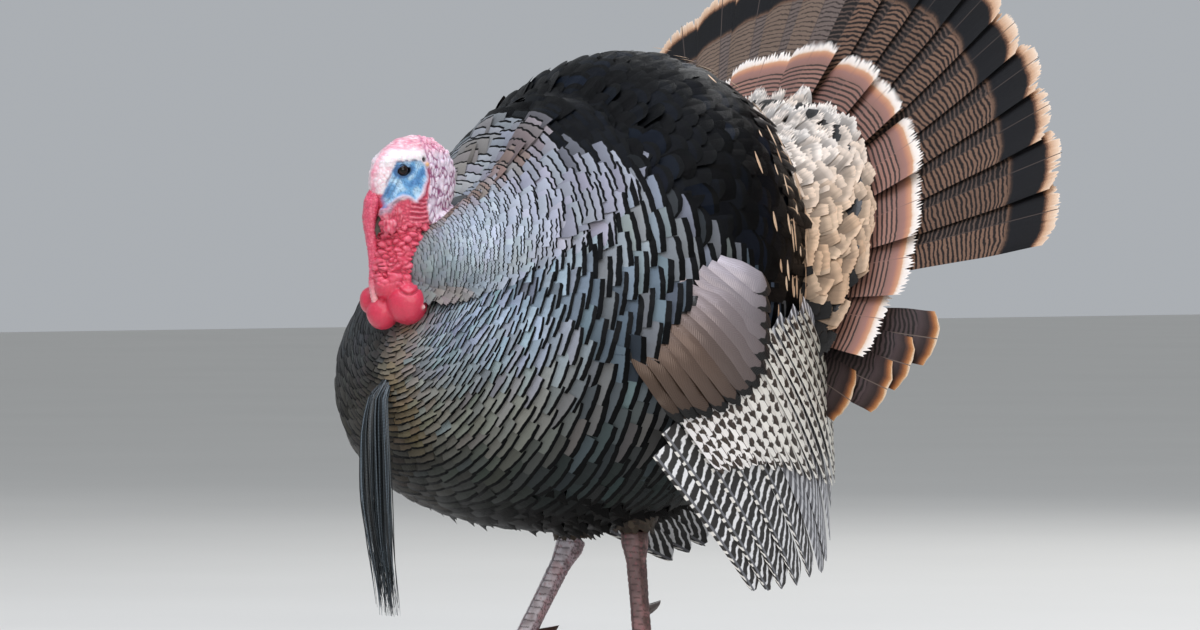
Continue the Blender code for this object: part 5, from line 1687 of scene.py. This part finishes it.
def makeHeadSkin(material):
    copies = copyOfNodes(["head", "throat", "ear_left", "ear_right"], 0.0005)
    # flesh inside the feathers joins the head to the body
    core = [addBall((0, -0.232 + 0.024 * k, 0.455 - 0.004 * k), 0.0185 + 0.003 * k) for k in range(5)]
    core += [addBall((0, -0.24, 0.395), 0.016), addBall((0, -0.236, 0.425), 0.019)]
    sockets = [addBall((side * 0.0105, face["eye"][0], face["eye"][1]), 0.007) for side in (1, -1)]
    cheeks = [addBall((side * 0.0085, y, z), 0.0074)
              for side in (1, -1) for y, z in ((-0.269, 0.462), (-0.2665, 0.453))]
    wattles = [addBall(place, radius) for place, radius in (
        ((0.015, -0.25, 0.377), 0.0195), ((-0.0225, -0.26, 0.38), 0.0135),
        ((-0.005, -0.263, 0.369), 0.0155), ((-0.009, -0.243, 0.376), 0.017),
        ((0.004, -0.266, 0.392), 0.0105), ((-0.006, -0.262, 0.388), 0.01), ((0.008, -0.258, 0.396), 0.011),
    )]
    head = joinAndRemesh(copies + core + sockets + cheeks + wattles, 0.001, "headSkin")
    soften(head, 8)
    tint = shapeHead(head)
    soften(head, 1)
    dress(head, material, tint)
    snood = joinAndRemesh(copyOfNodes(["snood"], 0.0001), 0.0009, "snoodSkin")
    soften(snood, 24)
    dress(snood, material, shapeSnood(snood))
    return head, snood


def soften(piece, times):
    # evens out facets; the step back out keeps the volume
    edges = np.empty(len(piece.data.edges) * 2, dtype=np.int64)
    piece.data.edges.foreach_get("vertices", edges)
    a, b = edges.reshape(-1, 2).T
    p = pointsOf(piece)
    degree = np.bincount(np.concatenate([a, b]), minlength=len(p))[:, None]
    for n in range(times * 2):
        total = np.stack([
            np.bincount(np.concatenate([a, b]), np.concatenate([p[b, i], p[a, i]]), len(p)) for i in range(3)
        ], axis=1)
        p = p + (0.55 if n % 2 == 0 else -0.57) * (total / degree - p)
    setPoints(piece, p)


def smoothPoints(piece, factor, times):
    smooth = piece.modifiers.new("smooth", "SMOOTH")
    smooth.factor = factor
    smooth.iterations = times
    activate(piece)
    bpy.ops.object.modifier_apply(modifier="smooth")


coatDepth = {"trunk": 0.012, "neck": 0.006, "thigh_left": 0.004, "thigh_right": 0.004, "rump": 0.007,
             "wing_left": 0.003, "wing_right": 0.003}


def makeBodySkin(material):
    names = list(coatDepth)
    copies = copyOfNodes(names, {name: -depth for name, depth in coatDepth.items()})
    copies += [addBall((0, -0.16, 0.43), 0.05), addBall((0, 0.135, 0.395), 0.035)]
    body = joinAndRemesh(copies, 0.005, "bodySkin")
    soften(body, 3)
    # where the rump's front stands out of the back, it is let down under the back's own feathers
    p = pointsOf(body)
    phi, tau, stand = trunkCoordinates(p)
    high = (stand > -0.008) & (p[:, 1] > -0.04) & (p[:, 1] < 0.105) & (p[:, 2] > 0.3)
    p[high] = onTrunk(phi[high], tau[high], -0.008)
    setPoints(body, p)
    # and the neck's rear rim is let down under its feathers
    p = pointsOf(body)
    phi, tau, stand = trunkCoordinates(p)
    rim = ramp(p[:, 1], -0.14, -0.112) * (p[:, 1] < -0.04) * ramp(p[:, 2], 0.43, 0.45) * (stand > -0.008)
    setPoints(body, p + rim[:, None] * (onTrunk(phi, tau, -0.008) - p))
    # down between the quills: dark, greyer on the neck
    p = pointsOf(body)
    onNeck = ramp(p[:, 1], -0.17, -0.19) * ramp(p[:, 2], 0.36, 0.375)
    dress(body, material, mixed("#141211", "#4d5358", onNeck))
    return body


# moist, and a little light passes through it
bareSkin = skinMaterial("bareSkin", {"scale": 420.0, "patchy": 0.12, "pores": 900.0, "bump": (0.35, 0.0006)}, {
    "Roughness": 0.38, "Specular IOR Level": 0.45, "Subsurface Weight": 0.12, "Subsurface Scale": 0.004,
    "Subsurface Radius": (1.0, 0.35, 0.25), "Coat Weight": 0.3, "Coat Roughness": 0.22,
})
headSkin, snoodSkin = makeHeadSkin(bareSkin)
bodySkin = makeBodySkin(bareSkin)
shown(headSkin, "crown_skin", "head", "throat", "caruncles", "ear_left", "ear_right")
shown(snoodSkin, "wattle_skin", "snood")
shown(bodySkin, "breast_plumage", "thigh_left", "thigh_right")
print("skin made")

# eyes, bill and horn

eyes = {
    "centre": (0.0136, -0.2545, 0.502), "radius": 0.0061, "gaze": (0.88, -0.46, 0.05),
    "rings": [(0.0, "#030202"), (0.36, "#040303"), (0.44, "#28140d"), (0.62, "#1d0f0a"), (0.7, "#0c0809"),
              (1.0, "#1a1517")],
}


def makeEyes():
    # moist cornea over a brown iris: the pupil and iris are rings round the gaze
    for side, name in ((1, "Left"), (-1, "Right")):
        centre = np.array(eyes["centre"]) * (side, 1, 1) + stance
        gaze = unit(np.array(eyes["gaze"]) * (side, 1, 1))
        deselectAll()
        bpy.ops.mesh.primitive_uv_sphere_add(segments=48, ring_count=32, radius=eyes["radius"], location=centre)
        eye = bpy.context.object
        # the cornea bulges a little over the iris
        mesh = eye.data
        for v in mesh.vertices:
            facing = v.co.normalized().dot(Vector(gaze))
            v.co *= 1 + 0.05 * float(ramp(np.array(facing), 0.55, 0.95))
        bpy.ops.object.transform_apply(location=True, rotation=True, scale=True)
        finishShape(eye, f"eyeball{name}")
        material, add = newMaterial(f"moistEye{name}")
        place = add("TexCoord").outputs["Object"]
        spot = add("VectorMath", {"operation": "DISTANCE", 1: tuple(centre + gaze * eyes["radius"])}, {0: place})
        rays = add("TexNoise", {"Scale": 2200.0, "Detail": 3.0}, {"Vector": place})
        rough = add("Math", {"operation": "MULTIPLY_ADD", 1: 0.0006}, {0: rays, 2: spot.outputs["Value"]})
        rings = add("MapRange", {"From Max": 0.008}, {"Value": rough})
        colours = add("ValToRGB", None, {"Fac": rings})
        colourStops(colours, eyes["rings"])
        closeMaterial(add, {"Roughness": 0.05, "IOR": 1.38}, colours, None, 0.0, 0.0)
        dress(eye, material)
        shown(eye, "eye", f"eye_{name.lower()}")


hornPieces = {
    # piece: nodes, voxel, slot
    "upperBillHorn": (["upper_bill"], 0.0006, "bill_horn"),
    "lowerBillHorn": (["lower_bill"], 0.0006, "bill_horn"),
}
for suffix in ("left", "right"):
    for part in ("middle", "inner", "outer", "hind"):
        hornPieces[f"{part}Claw{suffix.title()}"] = ([f"{part}_claw_{suffix}"], 0.0006, "claw_horn")
    hornPieces[f"spur{suffix.title()}"] = ([f"spur_{suffix}"], 0.0008, "claw_horn")


def makeHorn(materials):
    for name, (nodes, voxel, slot) in hornPieces.items():
        piece = joinAndRemesh(copyOfNodes(nodes, 0.0), voxel, name)
        smoothPoints(piece, 0.5, 4)
        p = pointsOf(piece)
        # growth rings, finer on the claws
        rings = wrinkle(p, 0.0016 if slot == "claw_horn" else 0.0024, (2.5, 2.5, 1.0))
        push = 0.00012 * rings - (0.001 if slot == "bill_horn" else 0.0)
        if name == "upperBillHorn":
            # nostril slit beside the ridge of the bill
            slit = np.hypot((p[:, 1] + 0.2665) / 1.0, (p[:, 2] - 0.469) / 1.8)
            push = push - 0.0012 * ramp(slit, 0.0024, 0.0012) * ramp(np.abs(p[:, 0]), 0.002, 0.004)
        setPoints(piece, p + normalsOf(piece) * push[:, None])
        kind = "bill" if slot == "bill_horn" else "spur" if "spur" in name else "claw"
        dress(piece, materials[kind])
        shown(piece, slot, *nodes)


makeEyes()
makeHorn({
    "bill": hornMaterial("billHorn", "#2f2a24", "#5d5247", 0.38, 300.0),
    "claw": hornMaterial("clawHorn", "#1a1413", "#3b2f2a", 0.3, 300.0),
    "spur": hornMaterial("spurHorn", "#2a1d1a", "#5c443d", 0.28, 240.0),
})
print("eyes, bill and claws made")


# the beard: coarse bristles from the breast

beard = {
    "bristles": 210, "halfWidth": 0.00055,
    # y, z, half width, half depth
    "path": [(-0.254, 0.316, 0.004, 0.003), (-0.26, 0.306, 0.006, 0.0045), (-0.272, 0.29, 0.011, 0.0075),
             (-0.276, 0.25, 0.0185, 0.0105), (-0.275, 0.205, 0.02, 0.012), (-0.27, 0.155, 0.015, 0.0095),
             (-0.264, 0.115, 0.0075, 0.005), (-0.26, 0.086, 0.002, 0.002)],
}


def makeBeard():
    values = beard
    count = values["bristles"]
    path = np.array(values["path"])
    steps = np.concatenate([[0], np.cumsum(np.linalg.norm(np.diff(path[:, :2], axis=0), axis=1))])
    steps /= steps[-1]
    rowPlaces = np.linspace(0, 1, 15)
    end = np.clip(1.02 - np.abs(chance.normal(0, 0.17, count)), 0.45, 1.0)
    stray = chance.normal(0, 1, (2, count, 1)) * 0.0034
    at = rowPlaces * end[:, None]
    table = throughTable(np.column_stack([steps, path]), at)
    turn = chance.uniform(0, 2 * math.pi, count)
    spread = np.sqrt(chance.uniform(0.02, 1, count))
    twist = turn[:, None] + 0.5 * (at - 0.5) + 0.1 * np.sin(7 * at + turn[:, None])
    x = table[..., 2] * (spread[:, None] * np.cos(twist))
    y = table[..., 0] + table[..., 3] * (spread[:, None] * np.sin(twist))
    z = table[..., 1] + 0 * x
    # two locks at the end
    x = x + np.sign(np.cos(turn))[:, None] * 0.0042 * ramp(at, 0.7, 1.0) + stray[0] * at**2
    y = y + stray[1] * at**2
    points = stacked(x, y, z) + 0.0004 * chance.normal(0, 1, (count, 1, 3))
    up = stacked(np.cos(twist), np.sin(twist), 0 * twist)
    half = values["halfWidth"] * (1 - 0.75 * rowPlaces ** 3) * chance.uniform(0.8, 1.3, count)[:, None]
    # horny hairs: black with a cold shine
    material = featherMaterial("beardBristleKeratin", {
        "roughness": 0.36, "metallic": 0.1, "specular": 0.5, "band": "#08090a", "barb": 3.0, "streak": 0.25,
        "bump": 0.2,
    })
    tint = blendColours([(0.0, "#15181a"), (0.5, "#333a3e"), (1.0, "#66717a")], chance.random(count) ** 1.4)
    makeVanes("beardBristles", material, "beard_bristle", ["beard"], points, up, half, rowPlaces, 3, {
        "tint": tint, "band": -2.0, "camber": 0.3, "thickness": 0.0009,
        "bakeSize": (0.003, 0.05),
    })
    print("beard made")


makeBeard()


# legs

legs = {
    "left": {"hock": (0.055, -0.009, 0.16), "ankle": (0.056, 0.003, 0.026)},
    "right": {"hock": (-0.055, 0.006, 0.15), "ankle": (-0.056, -0.072, 0.028)},
    "plate": 0.0062, "voxel": 0.0014,
    # skin, its pale plates and how much they show; painted light: the right leg paler and lit, the left darker in
    # shade
    "litAndShadedLooks": {"left": ("#664b47", "#957c7e", 0.45), "right": ("#b39da5", "#eee8ef", 0.75)},
    # share down, half width, half depth
    "thigh": [(0.0, 0.036, 0.04), (0.55, 0.027, 0.03), (0.95, 0.016, 0.019)],
    "thighTop": 0.215,
}


def legAxis(side, z):
    hock, ankle = np.array(legs[side]["hock"]), np.array(legs[side]["ankle"])
    share = np.clip((z - ankle[2]) / (hock[2] - ankle[2]), -0.1, 1.1)[..., None]
    return ankle + (hock - ankle) * share


def makeLegSkin(side, material):
    toes = [f"{part}_toe_{side}" for part in ("middle", "inner", "outer", "hind")]
    copies = copyOfNodes([f"shank_{side}"] + toes, 0.0003)
    piece = joinAndRemesh(copies, legs["voxel"], f"legSkin{side.title()}")
    smoothPoints(piece, 0.5, 4)
    p = pointsOf(piece)
    away = p - legAxis(side, p[:, 2])
    angle = np.arctan2(away[:, 0], -away[:, 1])
    isShank = ramp(p[:, 2], 0.026, 0.036)
    front = ramp(np.abs(angle), 1.35, 1.05)
    # broad plates down the front in two rows, small round ones behind
    slantedZ = p[:, 2] + 0.0014 * np.abs(angle) + 0.001 * (angle > 0)
    phase = (slantedZ / legs["plate"]) % 1.0
    seam = np.minimum(phase, 1 - phase)
    plates = ramp(seam, 0.03, 0.16) * ramp(np.abs(angle), 0.03, 0.12)
    pebbles = cells(p, 0.0034)
    ankle = np.array(legs[side]["ankle"])
    reach = np.linalg.norm(p[:, :2] - ankle[:2], axis=1)
    toePhase = (reach / 0.0036) % 1.0
    toePlates = ramp(np.minimum(toePhase, 1 - toePhase), 0.04, 0.2)
    onTop = ramp(normalsOf(piece)[:, 2], 0.1, 0.5)
    relief = isShank * (front * plates + (1 - front) * ramp(pebbles, 0.05, 0.35))
    relief += (1 - isShank) * (onTop * toePlates + (1 - onTop) * ramp(pebbles, 0.05, 0.35))
    moved = p + normalsOf(piece) * (0.00055 * (relief - 0.6) + 0.0002 * wrinkle(p, 0.003))[:, None]
    moved[:, 2] = np.maximum(moved[:, 2], 0)
    setPoints(piece, moved)
    blotch = wrinkle(p, 0.011)
    # painted light: one leg takes lit colours, the other shaded ones
    base, pale, plateAndLightShare = legs["litAndShadedLooks"][side]
    rosy = cells(p + 0.7, 0.0042) ** 2
    dress(piece, material, painted(
        base,
        (pale, front * isShank * plateAndLightShare),
        ("#5b3f40", ramp(blotch, 0.0, 0.4) * 0.5),
        ("#c08b8c", ramp(-blotch, 0.1, 0.45) * 0.4),
        ("#3a2a28", ramp(relief, 0.5, 0.1) * 0.75),
        ("#4c3a37", (1 - isShank) * 0.35),
        ("#a35a63", ramp(rosy, 0.3, 0.8) * 0.45 * isShank),
    ))
    shown(piece, "leg_scute", f"shank_{side}", *toes)


def makeThighFeathers(side, material):
    hock = np.array(legs[side]["hock"])
    top = np.array([hock[0] * 1.05, hock[1] - 0.01, legs["thighTop"]])
    found = []
    for row in range(15):
        share = 0.1 + 0.94 * row / 14
        sizes = throughTable(legs["thigh"], min(share, 0.95))
        count = max(9, int(2 * math.pi * (sizes[0] + sizes[1]) / 2 / 0.0085))
        at = staggered(count, row, 0.2) / count * 2 * math.pi
        found.append(np.stack([np.full(count, share) + chance.normal(0, 0.012, count), at], axis=1))
    share, at = np.concatenate(found).T
    count = len(share)
    length = chance.uniform(0.018, 0.026, count)
    rowPlaces = looseRows
    whole = np.linalg.norm(top - hock)
    along = share[:, None] + (rowPlaces - 1) * (length / whole)[:, None]
    sizes = throughTable(legs["thigh"], np.clip(along, 0, 0.95))
    depth = -0.004 * (1 - rowPlaces) + 0.0012 + chance.uniform(0, 0.001, count)[:, None]
    centre = top + (hock - top) * along[..., None]
    up = stacked(np.cos(at), np.sin(at), 0 * at)[:, None, :]
    scale = stacked(sizes[..., 0] + depth, sizes[..., 1] + depth, 0 * depth)
    path = centre + up * scale
    half = 0.0055 * outline(rowPlaces, 0.6, 0.4, 0.7) * chance.uniform(0.8, 1.2, count)[:, None]
    tint = mixed("#2b241e", "#54493c", chance.random(count))
    makeVanes(f"thighFeathers{side.title()}", material, "thigh_plumage", [], path, up, half, rowPlaces, 5, {
        "tint": tint, "band": 1.0, "tip": raggedTip(count, 5, 0.003, 2.0, 0.0008), "camber": 0.2,
        "bakeCorner": stacked(at / (2 * math.pi) * 0.98, np.clip(share, 0, 1) * 0.95),
    })


legSkin = skinMaterial("scaledLegSkin", {"scale": 700.0, "patchy": 0.25, "bump": (0.3, 0.0004)}, {"Roughness": 0.46})
for side in ("left", "right"):
    makeLegSkin(side, legSkin)
    makeThighFeathers(side, softFeather)
print("legs made")


# loose dark feathers wherever the body's skin would still show: round the vent and at the root of the rump

fillPlumage = {"spacing": 0.0085, "length": (0.02, 0.03), "halfWidth": 0.0065, "black": "#060607", "brown": "#2a211c"}


def makeFillFeathers(material):
    values = fillPlumage
    p, normal = pointsOf(bodySkin), normalsOf(bodySkin)
    phi, tau, stand = trunkCoordinates(p)
    bare = (p[:, 1] > 0.085) | ((stand > -0.0085) & (p[:, 1] > -0.04))
    bare &= p[:, 2] > 0.17
    # none before the tail, where the rump's own feathers lie
    back, up = tailAxes()
    away = p - tailShape["root"]
    behind, over = away @ back, away @ up
    reach = np.hypot(over, away[:, 0])
    bare &= (behind > reach / math.tan(tailShape["cone"]) - 0.004) | (
        np.abs(np.arctan2(away[:, 0], over)) > rumpPlumage["edge"])
    order = np.flatnonzero(bare)
    chance.shuffle(order)
    taken, chosen = set(), []
    for n in order:
        cell = tuple((p[n] // values["spacing"]).astype(int))
        if cell not in taken:
            taken.add(cell)
            chosen.append(n)
    root, out = p[chosen], normal[chosen]
    count = len(root)
    # they lie back and downwards
    wish = np.where(root[:, 1:2] > 0.11, np.array([[0, 0.35, -1.0]]), np.array([[0, 1.0, -0.25]]))
    wish = wish + chance.normal(0, 0.12, (count, 3))
    flow = unit(wish - out * (wish * out).sum(1, keepdims=True))
    length = chance.uniform(*values["length"], count)
    rowPlaces = looseRows
    path = root[:, None, :] + flow[:, None, :] * (rowPlaces[:, None] * length[:, None, None])
    skin = BVHTree.FromPolygons([tuple(q) for q in p], [tuple(face.vertices) for face in bodySkin.data.polygons])
    up = np.zeros_like(path)
    for i in range(count):
        for j, share in enumerate(rowPlaces):
            near, facing, _, _ = skin.find_nearest(Vector(path[i, j]))
            up[i, j] = facing
            path[i, j] = np.array(near) + np.array(facing) * (0.0055 * share - 0.0008)
    half = values["halfWidth"] * outline(rowPlaces, 0.6, 0.4, 0.7) * chance.uniform(0.8, 1.25, count)[:, None]
    tint = mixed(values["black"], values["brown"], ramp(root[:, 2], 0.4, 0.3) * chance.random(count))
    makeVanes("ventFeathers", material, "breast_plumage", [], path, up, half, rowPlaces, 5, {
        "tint": tint, "band": -2.0, "tip": raggedTip(count, 5, 0.004, 2.0, 0.0008), "camber": 0.2,
        "bakeCorner": bodyCorner(phi[chosen], tau[chosen]),
    })
    print("vent plumage:", count, "feathers")


makeFillFeathers(softFeather)
